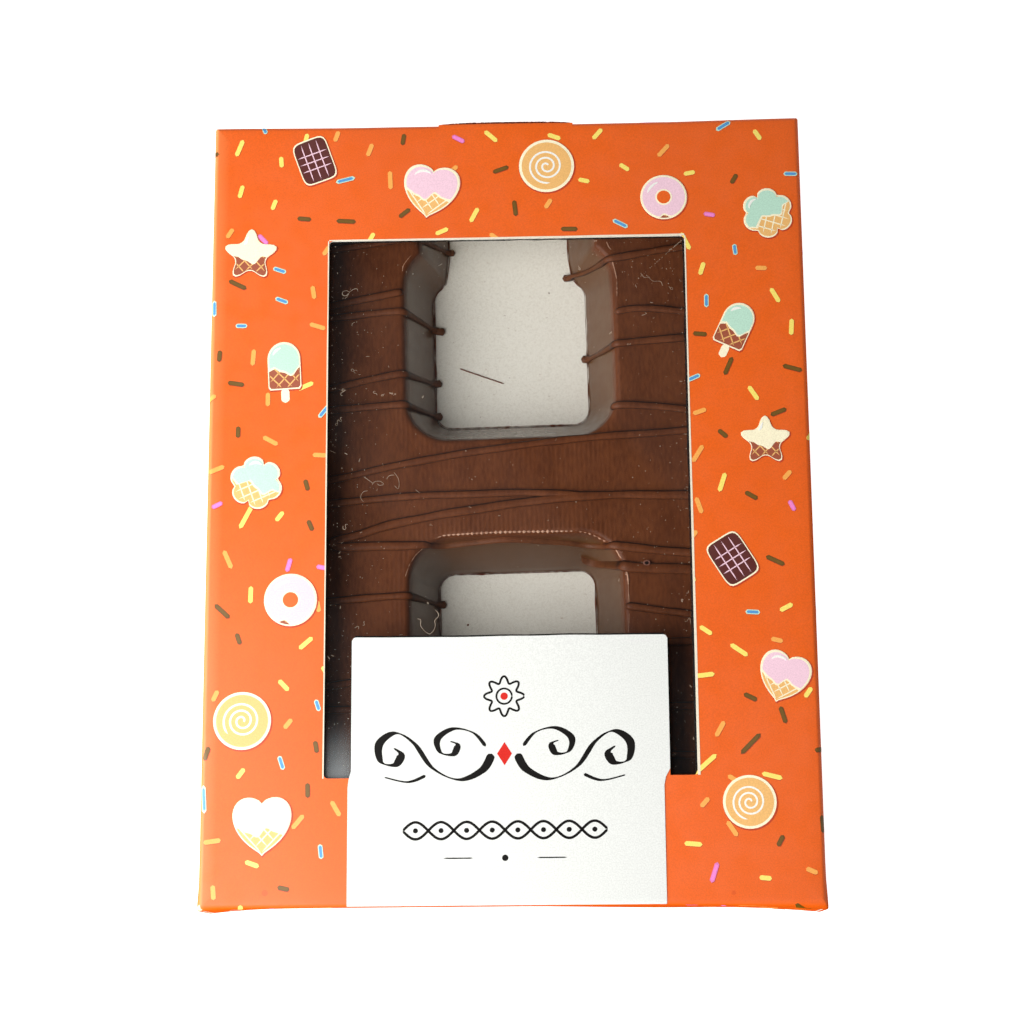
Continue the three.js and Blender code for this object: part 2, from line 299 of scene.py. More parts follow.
@dataclass
class Shell:
    """Grids of points and faces that are gathered into one mesh."""

    points: list[Grid] = field(default_factory=list)
    faces: list[Grid] = field(default_factory=list)
    finishes: list[Grid] = field(default_factory=list)
    inks: list[Grid] = field(default_factory=list)
    count: int = 0

    def add(self, points: Grid, faces: Grid, finish: int = 0, ink: Colour = (1, 1, 1)) -> None:
        """Adds one surface.

        Args:
            points: Its points, in millimetres.
            faces: Its faces, numbered from its own first point.
            finish: Number of the material that it takes.
            ink: Linear colour kept in the mesh's colour attribute.
        """
        points = points.reshape(-1, 3)
        self.points.append(points)
        self.faces.append(faces + self.count)
        self.finishes.append(np.full(len(faces), finish))
        self.inks.append(np.tile([*ink, 1.0], (faces.size, 1)))
        self.count += len(points)

    def build(
        self, name: str, finishes: Sequence[Finish], slot: str, weld: float = 0.0, closed: bool = False
    ) -> Piece:
        """Makes the mesh object, welds points closer than the weld distance and lets it ride.

        Args:
            name: Name of the piece.
            finishes: Its materials.
            slot: Material slot of the record; not used.
            weld: Distance in millimetres below which points become one.
            closed: Whether its surfaces are closed, so that its faces can be turned outwards.

        Returns:
            The new piece.
        """
        mesh = bpy.data.meshes.new(name)
        faces = [face for block in self.faces for face in block.tolist()]
        mesh.from_pydata(np.concatenate(self.points) * MM, [], faces)
        mesh.polygons.foreach_set("material_index", np.concatenate(self.finishes).astype(np.int32))
        mesh.polygons.foreach_set("use_smooth", np.ones(len(faces), bool))
        inks = mesh.color_attributes.new("ink", "FLOAT_COLOR", "CORNER")
        inks.data.foreach_set("color", np.concatenate(self.inks).astype(np.float32).ravel())
        for finish in finishes:
            mesh.materials.append(finish)
        if weld:
            work = bmesh.new()
            work.from_mesh(mesh)
            bmesh.ops.remove_doubles(work, verts=work.verts, dist=weld * MM)
            if closed:
                bmesh.ops.recalc_face_normals(work, faces=work.faces)
            work.to_mesh(mesh)
            work.free()
        piece = bpy.data.objects.new(name, mesh)
        bpy.context.scene.collection.objects.link(piece)
        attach(piece, BODY)
        LOG.info("%s: %d faces", name, len(mesh.polygons))
        return piece


def thicken(piece: Piece, thickness: float, inside: int = 0, rim: int = 0) -> None:
    """Gives a sheet its thickness on the inner side and applies it, with its cut edges crisp.

    Args:
        piece: The sheet.
        thickness: Thickness in millimetres.
        inside: Steps from a face's material to that of the inner side.
        rim: Steps to that of the cut edge.
    """
    wall = piece.modifiers.new("wall", "SOLIDIFY")
    wall.thickness = thickness * MM
    wall.offset = -1
    wall.use_even_offset = True
    wall.material_offset = inside
    wall.material_offset_rim = rim
    bpy.context.view_layer.objects.active = piece
    with bpy.context.temp_override(object=piece, active_object=piece):
        bpy.ops.object.modifier_apply(modifier=wall.name)
    piece.data.set_sharp_from_angle(angle=CRISP_FROM)


class Tree:
    """A material whose nodes are wired in few words."""

    def __init__(self, name: str) -> None:
        """Starts the material with an empty node tree.

        Args:
            name: Its name.
        """
        self.material = bpy.data.materials.new(name)
        self.material.use_nodes = True
        self.nodes = self.material.node_tree.nodes
        self.links = self.material.node_tree.links
        self.nodes.clear()
        self.place = self.node("TexCoord").outputs["Object"]

    def node(self, kind: str, inputs: dict | None = None, **settings: object) -> bpy.types.Node:
        """Adds a shader node.

        Args:
            kind: Its type, without the ShaderNode prefix.
            inputs: Values, or sockets to link, by the input's name or number.
            settings: Attributes of the node.

        Returns:
            The node.
        """
        node = self.nodes.new("ShaderNode" + kind)
        for name, value in settings.items():
            setattr(node, name, value)
        for name, value in (inputs or {}).items():
            if isinstance(value, Socket):
                self.links.new(value, node.inputs[name])
            elif isinstance(value, tuple) and node.inputs[name].type == "RGBA":
                node.inputs[name].default_value = (*value, 1.0)
            else:
                node.inputs[name].default_value = value
        return node

    def carried(self, name: str) -> Socket:
        """The number that the mesh carries at each point under a name."""
        return self.node("Attribute", attribute_name=name).outputs["Fac"]

    def maths(self, operation: str, *values: object) -> Socket:
        """The result of one sum on numbers or sockets."""
        return self.node("Math", dict(enumerate(values)), operation=operation).outputs[0]

    def noise(self, size: float, detail: float = 2.0, stretch: Place = (1, 1, 1)) -> Socket:
        """Noise on the piece's own coordinates: size of a blotch in millimetres, octaves, fineness."""
        moved = self.node("Mapping", {"Vector": self.place, "Scale": stretch}).outputs[0]
        return self.node("TexNoise", {"Vector": moved, "Scale": 1 / (size * MM), "Detail": detail}).outputs[0]

    def spread(self, value: Socket, low: float, high: float, to_low: float, to_high: float) -> Socket:
        """Carries a value from one range to another, held at its ends."""
        ends = {"Value": value, "From Min": low, "From Max": high, "To Min": to_low, "To Max": to_high}
        return self.node("MapRange", ends).outputs[0]

    def mottle(
        self, size: float, detail: float, low: float, high: float, stretch: Place = (1, 1, 1)
    ) -> Socket:
        """Noise whose middle four tenths, where most of it lies, fill the range from low to high."""
        return self.spread(self.noise(size, detail, stretch), 0.3, 0.7, low, high)

    def blend(self, share: object, first: object, second: object, kind: str = "MIX") -> Socket:
        """Mixes a share of the second colour, or of an effect of that kind, into the first."""
        return self.node("Mix", {0: share, 6: first, 7: second}, data_type="RGBA", blend_type=kind).outputs[2]

    def bump(self, height: Socket, depth: float, strength: float, under: Socket | None = None) -> Socket:
        """Raises a height into the normal.

        Args:
            height: Height, 0 to 1.
            depth: Its full height in millimetres.
            strength: Share of it that shows.
            under: Normal that it lies on.

        Returns:
            The normal.
        """
        inputs = {"Height": height, "Distance": depth * MM, "Strength": strength}
        if under is not None:
            inputs["Normal"] = under
        return self.node("Bump", inputs).outputs[0]

    def surface(self, **values: object) -> Finish:
        """Ends the material in one Principled shader.

        Args:
            values: Its inputs, with _ for the spaces in their names.

        Returns:
            The material.
        """
        names = {key.replace("_", " "): value for key, value in values.items()}
        shader = self.node("BsdfPrincipled", names)
        self.node("OutputMaterial", {"Surface": shader.outputs[0]})
        return self.material


@dataclass(frozen=True)
class PrintedBoard:
    """Varnished folding boxboard, in one flood colour or in the inks of its colour attribute."""

    name: str
    colour: Colour | None = None
    worn: bool = False
    gleam: float = 0.75
    cloud: Colour = (0.5, 0.06, 0.015)
    rubbed_and_painted_highlight: Colour = shade(255, 232, 210)
    # painted highlight: pale colour blended onto the left fold, where the lamp catches it
    painted_fold_highlight: Colour = shade(252, 208, 140)
    # painted shade: darker colour for the right wall and the lower end panel below their folds
    painted_wall_shade: Colour = (0.52, 0.07, 0.006)
    # painted contact shadow: near-black colour blended in towards the foot of the lower end panel
    hem: Colour = (0.12, 0.02, 0.008)
    half_depth: float = 9.0
    varnish_from: float = 8.6

    def build(self) -> Finish:
        """Makes the material: mottled ink with a fibre grain, pale where the folds are worn, with a painted
        highlight on the left fold and painted shade on the right wall and the lower end panel.

        The varnish mirrors only on the front and the back: its share rises with the distance from
        the pack's middle height.

        Returns:
            The material.
        """
        tree = Tree(self.name)
        tone = self.colour or tree.node("Attribute", attribute_name="ink").outputs["Color"]
        if self.worn:
            tone = tree.blend(tree.mottle(24, 3, 0, 0.12), tone, self.cloud)
        dots = tree.mottle(0.22, 2, 0.9, 1.07)
        grain = tree.node("CombineColor", {0: dots, 1: dots, 2: dots}).outputs[0]
        tone = tree.blend(1.0, tone, grain, "MULTIPLY")
        if self.worn:
            rub = tree.maths("MULTIPLY", tree.carried("wear"), tree.noise(0.5, 4))
            tone = tree.blend(tree.spread(rub, 0.47, 0.56, 0, 0.9), tone, self.rubbed_and_painted_highlight)
            # painted light: a highlight on the left fold, shade below the right and lower folds, and a
            # contact shadow along the lower hem
            for name in ("painted_fold_highlight", "painted_wall_shade", "hem"):
                tone = tree.blend(tree.carried(name), tone, getattr(self, name))
        height = tree.node("SeparateXYZ", {0: tree.place}).outputs["Z"]
        off_middle = tree.maths("ABSOLUTE", tree.maths("SUBTRACT", height, self.half_depth * MM))
        varnish = tree.spread(off_middle, self.varnish_from * MM, self.half_depth * MM, 0.0, self.gleam)
        fibre = tree.noise(0.35, 3, (1, 0.35, 1))
        normal = tree.bump(fibre, 0.012, 0.35, tree.bump(tree.noise(9, 2), 0.05, 0.3))
        rough = tree.mottle(3.5, 3, 0.42, 0.54)
        return tree.surface(Base_Color=tone, Roughness=rough, Normal=normal, Specular_IOR_Level=varnish)


@dataclass(frozen=True)
class BareBoard:
    """Unprinted board: the inside of the carton, its cut edges or a torn edge."""

    name: str
    colour: Colour
    fleck: Colour
    flecks: float = 0.2

    def build(self) -> Finish:
        """Makes the material: pulp with darker flecks and a soft fibrous tooth.

        Returns:
            The material.
        """
        tree = Tree(self.name)
        share = tree.spread(tree.noise(0.3, 4), 0.45, 0.75, 0, self.flecks)
        pulp = tree.blend(share, self.colour, self.fleck)
        normal = tree.bump(tree.noise(0.12, 3), 0.02, 0.5)
        rough = tree.mottle(1.5, 2, 0.75, 0.9)
        return tree.surface(Base_Color=pulp, Roughness=rough, Normal=normal, Specular_IOR_Level=0.3)


@dataclass(frozen=True)
class Chocolate:
    """Milk chocolate: a satin skin with faint swirls, small pits and a patchy sheen, with painted shade
    beside strands and a painted reflection's tint on walls.
    """

    name: str
    dark: Colour
    light: Colour
    roughness: float = 0.44
    # painted shade: near-black colour beside the strands
    painted_crease_shade: Colour = (0.016, 0.006, 0.003)
    # painted reflection: olive tint of the walls, standing in for their mirror of the pale board inside
    wall: Colour = shade(88, 55, 22)

    def build(self) -> Finish:
        """Makes the material: swirled, darker beside the strands as painted shade, with a duller, olive tone
        on the walls painted as their reflection of the pale board inside, and glossier there.

        Returns:
            The material.
        """
        tree = Tree(self.name)
        broad, fine = tree.mottle(5, 3, 0, 1, (1, 0.5, 1)), tree.mottle(0.45, 3, 0, 1, (1, 0.3, 1))
        swirl = tree.maths("ADD", broad, fine)
        tone = tree.blend(tree.spread(swirl, 0.4, 1.6, 0, 1), self.dark, self.light)
        # painted light: shade beside the strands, and the walls' reflection of the pale board inside as an
        # olive tint
        for name, most in (("painted_crease_shade", 0.92), ("wall", 0.8)):
            share = tree.spread(tree.carried(name), 0, 1, 0, most)
            tone = tree.blend(share, tone, getattr(self, name))
        pits = tree.bump(tree.noise(0.18, 2), 0.014, 0.4)
        normal = tree.bump(tree.noise(2.5, 2), 0.06, 0.35, pits)
        rough = tree.mottle(2.2, 3, self.roughness - 0.05, self.roughness + 0.09)
        return tree.surface(
            Base_Color=tone, Roughness=rough, Normal=normal, Specular_IOR_Level=0.18,
            Coat_Weight=tree.carried("gloss"), Coat_Roughness=0.2, Coat_IOR=1.5,
        )


@dataclass(frozen=True)
class ClearFilm:
    """Thin clear film: nearly all light passes, and a few hundredths are mirrored."""

    name: str = "clear_film"
    clearness: float = 0.94
    clear: Colour = (0.02, 0.022, 0.024)
    # milky tint, used mostly as a painted reflection at the window's lower left
    milky_and_painted_reflection: Colour = (0.62, 0.66, 0.68)

    def build(self) -> Finish:
        """Makes the material: the same sheen all over, cloudy where the mesh marks it: a painted reflection
        at the lower left, and faint bands.

        Returns:
            The material.
        """
        tree = Tree(self.name)
        # painted reflection: the carried number lays the milky tint over the film, mostly at the lower left
        cloud = tree.maths("MULTIPLY", tree.carried("haze_and_painted_reflection"), tree.mottle(6, 3, 0.7, 1.3, (1, 0.3, 1)))
        parts = {0: cloud, 1: 1 - self.clearness}
        cover = tree.node("Math", parts, operation="ADD", use_clamp=True).outputs[0]
        tint = tree.blend(tree.maths("DIVIDE", cloud, cover), self.clear, self.milky_and_painted_reflection)
        smear = tree.mottle(12, 3, 0.08, 0.16)
        normal = tree.bump(tree.noise(20, 2), 0.3, 0.5)
        return tree.surface(
            Base_Color=tint, Roughness=smear, Normal=normal, Alpha=cover, Specular_IOR_Level=0.9
        )


@dataclass(frozen=True)
class PaintedEdgeShadow:
    """A thin dark line between the board and the film, painted as the shadow of the board's edge."""

    name: str = "painted_edge_shadow"
    cold: Colour = (0.006, 0.008, 0.011)
    warm: Colour = (0.012, 0.009, 0.007)

    def build(self) -> Finish:
        """Makes the material: nearly black, see-through in places.

        Returns:
            The material.
        """
        tree = Tree(self.name)
        tone = tree.blend(tree.mottle(1.5, 2, 0, 1), self.cold, self.warm)
        cover = tree.mottle(0.9, 2, 0.45, 0.85)
        return tree.surface(Base_Color=tone, Roughness=0.6, Alpha=cover, Specular_IOR_Level=0.2)


@dataclass(frozen=True)
class Lint:
    """Pale dust and textile fibres, off-white with a soft sheen and uneven tone."""

    name: str = "pale_lint"
    light: Colour = shade(190, 168, 146)
    dark: Colour = shade(128, 104, 84)

    def build(self) -> Finish:
        """Makes the material.

        Returns:
            The material.
        """
        tree = Tree(self.name)
        tone = tree.blend(tree.mottle(1.2, 2, 0, 1), self.light, self.dark)
        return tree.surface(Base_Color=tone, Roughness=0.8, Sheen_Weight=0.3)


@dataclass(frozen=True)
class PaleFloor:
    """The studio's plain white floor, lit a little from below so that shadows stay faint."""

    name: str = "pale_floor"
    colour: Colour = (0.6, 0.6, 0.6)
    glow: Colour = (1.0, 1.0, 1.0)

    def build(self) -> Finish:
        """Makes the material."""
        values = {"Base_Color": self.colour, "Emission_Color": self.glow}
        return Tree(self.name).surface(**values, Roughness=0.9, Emission_Strength=1.0)


INKS = {
    "yellow": shade(250, 228, 112),
    "light orange": shade(246, 172, 82),
    "olive": shade(100, 72, 18),
    "pink": shade(222, 122, 190),
    "blue": shade(84, 152, 212),
    "shadow": shade(188, 62, 24),
    "flood": (0.83, 0.124, 0.006),
    "stain": (0.73, 0.09, 0.005),
    "white": shade(246, 246, 239),
    "label": shade(224, 226, 223),
    "margin": shade(236, 226, 204),
    "cream": shade(255, 246, 212),
    "mint": shade(190, 229, 208),
    "rose": shade(245, 206, 222),
    "waffle": shade(240, 186, 112),
    "brown": shade(160, 82, 56),
    "dark": shade(88, 34, 30),
    "black": shade(12, 9, 8),
    "red": shade(206, 40, 32),
}


class Side(Enum):
    """The two large panels of the carton."""

    FRONT = 1
    BACK = -1


@dataclass
class Carton:
    """The folded board: front with its window and label tab, walls, hinged end panels and back."""

    width: float = 100
    length: float = 132
    depth: float = 18
    board: float = 0.45
    fold: float = 0.8
    corner: float = 0.35
    window_width: float = 60.2
    window_length: float = 91
    window_radius: float = 0.7
    tab_width: float = 51.4
    tab_top: float = -22.65
    end_width: float = 98
    seam: float = 0.3
    hem_top: float = 1.1
    glue_top: float = 0.92
    tongue_width: float = 23
    tongue_rise: float = 0.5
    slot_drop: float = 1.1
    flap_reach: float = 20
    ear_reach: float = 22
    ear_left: float = 0.43
    ear_right: float = 0.95
    ear_out: float = 0.25
    lean_left: float = 0.6
    lean_right: float = 0.2
    lean_top: float = 0.15
    top_in: float = 0.16
    top_corner_in: float = 0.3
    panel_wave: float = 0.07
    panel_dip: float = 0.05
    wall_bow: float = 0.22

    def __post_init__(self) -> None:
        """Works out the line positions that the window, the seams and the tongue need."""
        self.flat_x = self.width / 2 - self.fold
        self.flat_y = self.length / 2 - self.fold
        self.edge_x = self.flat_x - 0.05
        self.edge_y = self.flat_y - 0.05
        straight_x = self.window_width / 2 - self.window_radius
        straight_y = self.window_length / 2 - self.window_radius
        tab = self.tab_width / 2
        grow = self.edge_x / straight_x
        slit = (self.end_width - self.seam) / 2 / grow
        stops = [tab - 0.7, tab - 0.4, tab - 0.2, tab - 0.1, tab, slit, straight_x]
        inner = self.tongue_width / 2 / grow
        self.window_x = spaced([-s for s in stops[::-1]] + [-inner, inner] + stops, 1.5)
        self.window_y = spaced([-straight_y, straight_y], 2.2)
        self.line_x = self.window_x * grow
        self.line_y = self.window_y * (self.edge_y / straight_y)

    def ring(self, half: Spot, radius: float, lines: tuple[Grid, Grid], z: float) -> Grid:
        """One closed outline in plan, anticlockwise from the lower left: straight sides through the
        given lines, joined by quarter circles.

        Args:
            half: Half its width and half its length.
            radius: Radius of its corners.
            lines: Positions of its points along X and along Y.
            z: Its height.

        Returns:
            Its points.
        """
        x, y = lines
        turn = np.linspace(0, QUARTER, 5)
        arcs = []
        for quarter, signs in enumerate([(1, -1), (1, 1), (-1, 1), (-1, -1)]):
            centre = np.array(signs) * (np.array(half) - radius)
            arcs.append(aim(turn + (quarter - 1) * QUARTER) * radius + centre)
        low, right = joined(x, -half[1]), joined(half[0], y)
        outline = np.concatenate([low, arcs[0], right, arcs[1], -low, arcs[2], -right, arcs[3]])
        return joined(*outline.T, z)

    def band(self, inset: float, z: float) -> Grid:
        """Outline of the carton inside its widest line, its corners as round as they can be.

        Args:
            inset: How far inside.
            z: Its height.

        Returns:
            Its points.
        """
        radius = max(self.corner - inset, 0.02) if inset < self.fold else max(self.fold + 0.05 - inset, 0)
        half = (self.width / 2 - inset, self.length / 2 - inset)
        return self.ring(half, radius, (self.line_x, self.line_y), z)

    def relief(self, points: Grid) -> Grid:
        """Bends ideal points as the real board is bent: faint waves on the front, walls that bow,
        end panels that lean in at their middle, and ears at the lower corners.

        Args:
            points: Points on or near the ideal carton.

        Returns:
            The bent points.
        """
        x, y, z = np.moveaxis(points, -1, 0)
        half_x, half_y = self.width / 2, self.length / 2
        bent = points.copy()
        up = smooth_step(z, 0.5 * self.depth, self.depth - self.fold)
        bent[..., 2] += up * (self.panel_wave * waves(x, y, 60, 3) - self.panel_dip)
        side = smooth_step(np.abs(x), half_x - 4, half_x - 1)
        high = np.sin(np.clip(z / self.depth, 0, 1) * HALF_TURN)
        bent[..., 0] += np.sign(x) * side * high * (1 - (y / half_y) ** 2) * self.wall_bow
        end = smooth_step(np.abs(y), half_y - 5, half_y - 1)
        ear = smooth_step(np.abs(x), half_x - self.ear_reach, half_x) * (y < 0)
        below = np.clip((self.depth - z) / self.fold, 0, 1)
        fade = smooth_step(z, 0.0, 6.0)
        share = np.clip(1 - (half_x - np.abs(x)) / self.ear_reach, 0, 1) * (y < 0)
        curl = np.where(x > 0, share**2, share**4)
        foot = self.lean_left + (self.lean_right - self.lean_left) * smooth_step(x, 0, 28)
        lean = np.where(y < 0, foot * (1 - curl), self.lean_top * smooth_step(z, 0.95, self.hem_top))
        bent[..., 1] -= np.sign(y) * end * lean * np.clip(1 - z / self.depth, 0, 1)
        flare = curl * np.where(x > 0, self.ear_right, self.ear_left)
        bent[..., 1] -= end * flare * below * fade
        corner = smooth_step(np.abs(x), 24, half_x)
        bent[..., 1] += end * (y > 0) * (self.top_in + self.top_corner_in * corner) * fade
        bent[..., 0] += np.sign(x) * end * ear**3 * below * self.ear_out * fade
        return bent

    def wrap(self, plan: Grid, lift: Grid | float, side: Side = Side.FRONT) -> Grid:
        """Lays flat print on the carton: it lies on the flat panel, turns over the fold on a
        quarter circle and runs on down the wall.

        Args:
            plan: Points across and along the panel, as (..., 2).
            lift: Height over the board.
            side: Panel that it starts from.

        Returns:
            Points in space.
        """
        flat = np.array([self.flat_x, self.flat_y])
        over = np.abs(plan) - flat
        angle = np.clip(over / self.fold, 0, QUARTER)
        run = np.maximum(over - self.fold * QUARTER, 0)
        reach = self.fold + np.asarray(lift)[..., None]
        place = np.sign(plan) * (np.minimum(np.abs(plan), flat) + reach * np.sin(angle))
        drop = (reach * (1 - np.cos(angle)) + run).sum(-1)
        x, y, z = place[..., 0], place[..., 1], self.depth + lift - drop
        if side is Side.BACK:
            x, z = -x, self.depth - z
        return self.relief(joined(x, y, z))

    def skin(self) -> Shell:
        """The outer face: rings from the window's edge over the folds and down the walls, a ruled
        grid for the back and one for the label tab. The seams and the thumb slot are left out.

        Returns:
            The gathered surfaces.
        """
        window = self.ring(
            (self.window_width / 2, self.window_length / 2), self.window_radius,
            (self.window_x, self.window_y), self.depth,
        )
        panel = self.band(self.fold, self.depth)
        front = [window + (panel - window) * share for share in np.linspace(0, 1, 11)]
        turn = np.linspace(0, QUARTER, 9)[1:]
        bends = [(self.fold * (1 - math.sin(a)), self.fold * (1 - math.cos(a))) for a in turn]
        fold_line = self.depth - self.fold
        slot_floor = self.depth - self.board - self.slot_drop
        levels = [slot_floor, *np.linspace(slot_floor - 0.6, 2, 7), self.hem_top, self.glue_top, self.fold]
        over = [self.band(inset, self.depth - drop) for inset, drop in bends]
        walls = [self.band(0, z) for z in levels]
        under = [self.band(drop, inset) for inset, drop in bends]
        rows = front + over + walls + under + [self.band(self.fold + 0.05, 0)]
        points = np.stack(rows)
        faces = grid_faces(len(rows), points.shape[1], ring=True)
        x, y, z = np.moveaxis(points.reshape(-1, 3)[faces].mean(1), -1, 0)
        at_end, wall = np.abs(y) > self.length / 2 - 0.3, z > self.fold
        slit = at_end & wall & (z < fold_line) & (np.abs(np.abs(x) - self.end_width / 2) < self.seam / 2)
        hem = at_end & wall & (z < self.hem_top) & (np.abs(x) < self.end_width / 2)
        lower_left_band = wall & (z < self.glue_top) & (x < -self.width / 2 + 0.3)
        thumb = (y > self.flat_y + 0.1) & (np.abs(x) < self.tongue_width / 2) & (z > slot_floor)
        faces = outward(points.reshape(-1, 3), faces)[~(slit | hem | lower_left_band | thumb)]
        moon = (np.abs(points[..., 0]) < self.tongue_width / 2) & (points[..., 1] > self.flat_y)
        moon &= np.abs(points[..., 2] - slot_floor) < 0.01
        points[..., 2] += moon * 0.6 * (2 * points[..., 0] / self.tongue_width) ** 2
        shell = Shell()
        shell.add(self.relief(points), faces)
        back = joined(self.line_x, self.line_y[:, None], 0)
        shell.add(self.relief(back), grid_faces(*back.shape[:2])[:, ::-1])
        shell.add(*self.tab())
        return shell

    def tab_line(self, x: Grid) -> Grid:
        """Height of the tab's top edge: straight, a little uneven, round at both corners."""
        near = np.clip((np.abs(x) - self.tab_width / 2) / self.window_radius + 1, 0, 1)
        return self.tab_top - self.window_radius * (1 - np.sqrt(1 - near**2)) + 0.05 * ripple(x, 9, 5)

    def tab(self) -> tuple[Grid, Grid]:
        """The label tab: columns from the window's foot to a straight top with rounded corners.

        Returns:
            Points and quads.
        """
        x = self.window_x[np.abs(self.window_x) < self.tab_width / 2 + 0.01]
        share = np.linspace(0, 1, 12)[:, None]
        y = -self.window_length / 2 + share * (self.tab_line(x) + self.window_length / 2)
        return self.relief(joined(x, y, self.depth)), grid_faces(len(share), len(x))

    def wear(self, piece: Piece) -> None:
        """Marks where the board is worn, and where light and shade are painted onto it.

        The ends of the front's folds are worn most and their length a little, with two chips at the
        lower left. The left fold is paler: a painted highlight. The right wall and the lower end panel
        are darker below their folds, the end panel most just under its fold: painted shade. The end
        panel also darkens towards its foot as a painted contact shadow.

        Args:
            piece: The board.
        """
        x, y, z = places(piece).T / MM
        half_x, half_y = self.width / 2, self.length / 2
        top = np.exp(-(((z - self.depth + 0.3) / 0.5) ** 2))
        corner = np.exp(-np.hypot(np.abs(x) - half_x, np.abs(y) - half_y) / 0.7)
        along_x = smooth_step(np.abs(y), half_y - 0.8, half_y - 0.2)
        along = np.maximum(smooth_step(np.abs(x), half_x - 0.8, half_x - 0.2), along_x)
        uneven = 0.6 + 0.4 * waves(x, y, 11, 8)
        amount = top * (0.8 * corner * (1 - 0.4 * np.sign(x)) + 0.45 * along * uneven)
        for chip, size in ((-64.1, 0.6), (-66.1, 0.45)):
            away = np.hypot(x + half_x, y - chip) / size
            amount = np.maximum(amount, 2.4 * np.exp(-(away**2)))
        mark(piece, "wear", amount)
        # painted highlight: the left fold, which faces the lamp, is made paler
        bend = np.exp(-(((x + half_x - 0.2) / 0.6) ** 2))
        bend *= smooth_step(z, self.depth - 2.4, self.depth - 0.5)
        mark(piece, "painted_fold_highlight", bend * (0.26 + 0.06 * y / half_y))
        # painted shade: the right wall below its fold and the lower end panel at and below its fold are
        # darkened
        right = 0.8 * smooth_step(x, half_x - 0.4, half_x) * smooth_step(z, 17.8, 17.2)
        low = smooth_step(-y, half_y - 1, half_y - 0.4)
        painted_crease_shade = 0.8 * low * np.exp(-(((z - 17.1) / 0.3) ** 2))
        mark(piece, "painted_wall_shade", np.max([right, painted_crease_shade, 0.5 * low * smooth_step(z, 17, 16.2)], axis=0))
        # painted contact shadow: the lower end panel darkens towards its foot
        mark(piece, "hem", low * (0.2 * smooth_step(z, 10, 5) + 0.6 * smooth_step(z, 3, 1)))

    def tongue(self) -> tuple[Grid, Grid, int]:
        """The thumb tongue: a low half moon in the plane of the front, torn along its edge.

        Its reach is a flat-topped parabola, and its last four tenths, bare of print, bend down.

        Returns:
            Points, quads and the number of printed quads.
        """
        x = np.linspace(-self.tongue_width / 2, self.tongue_width / 2, 110)
        bow = (1 - (2 * x / self.tongue_width) ** 2) ** 0.45
        ragged = 0.06 * ripple(x, 1.1, 21) + 0.05 * ripple(x, 0.45, 22)
        reach = bow * (self.tongue_rise + 0.5 * ragged)
        bare = reach - bow * (0.42 + 0.8 * ragged)
        out = np.stack([x * 0 - 0.7, x * 0 - 0.35, np.minimum(bare, reach), (bare + reach) / 2, reach])
        droop = np.array([0.0, 0.01, 0.03, 0.12, 0.26])[:, None]
        y = self.length / 2 + np.minimum(out, self.tongue_rise - 0.01)
        points = self.relief(joined(x, y, self.depth + 0.012 - droop))
        return points, grid_faces(5, len(x)), 2 * (len(x) - 1)

    def build(self) -> None:
        """Makes the carton, its torn tongue and the dust flaps behind the end slits."""
        printed = PrintedBoard("printed_orange", INKS["flood"], worn=True).build()
        inside = BareBoard("board_inside", shade(246, 243, 232), shade(188, 178, 158), 0.3).build()
        cut = BareBoard("board_cut_edge", shade(246, 242, 230), shade(196, 184, 160), 0.5).build()
        piece = self.skin().build("carton_board", [printed, inside, cut], "printed_board", weld=0.004)
        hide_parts("carton")
        self.wear(piece)
        thicken(piece, self.board, inside=1, rim=2)
        torn = BareBoard("torn_edge", shade(92, 34, 20), shade(190, 90, 48), 0.7).build()
        shell = Shell()
        points, faces, printed_count = self.tongue()
        shell.add(points, faces[:printed_count])
        shell.add(points, faces[printed_count:], finish=1)
        piece = shell.build("carton_tongue", [printed, torn], "printed_board", weld=0.002)
        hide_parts("carton")
        thicken(piece, self.board, inside=1)
        self.flaps(inside)

    def flaps(self, finish: Finish) -> None:
        """Makes the four dust flaps: sheets just inside the end panels, curled away at their free edge.

        Args:
            finish: The unprinted board.
        """
        shell = Shell()
        middle = self.depth / 2
        u, z = np.meshgrid(np.linspace(0, 1, 9), np.linspace(1.2, self.depth - 1.2, 6), indexing="ij")
        tapered = (z - middle) * (1 - 0.18 * u) + middle
        for sx, sy in QUARTERS:
            x = sx * (self.width / 2 - self.board - 0.12 - u * self.flap_reach)
            y = sy * (self.length / 2 - self.board - 0.35 - 0.9 * u**2)
            shell.add(self.relief(joined(x, y, tapered)), grid_faces(*u.shape))
        thicken(shell.build("end_flaps", [finish], "printed_board"), self.board)


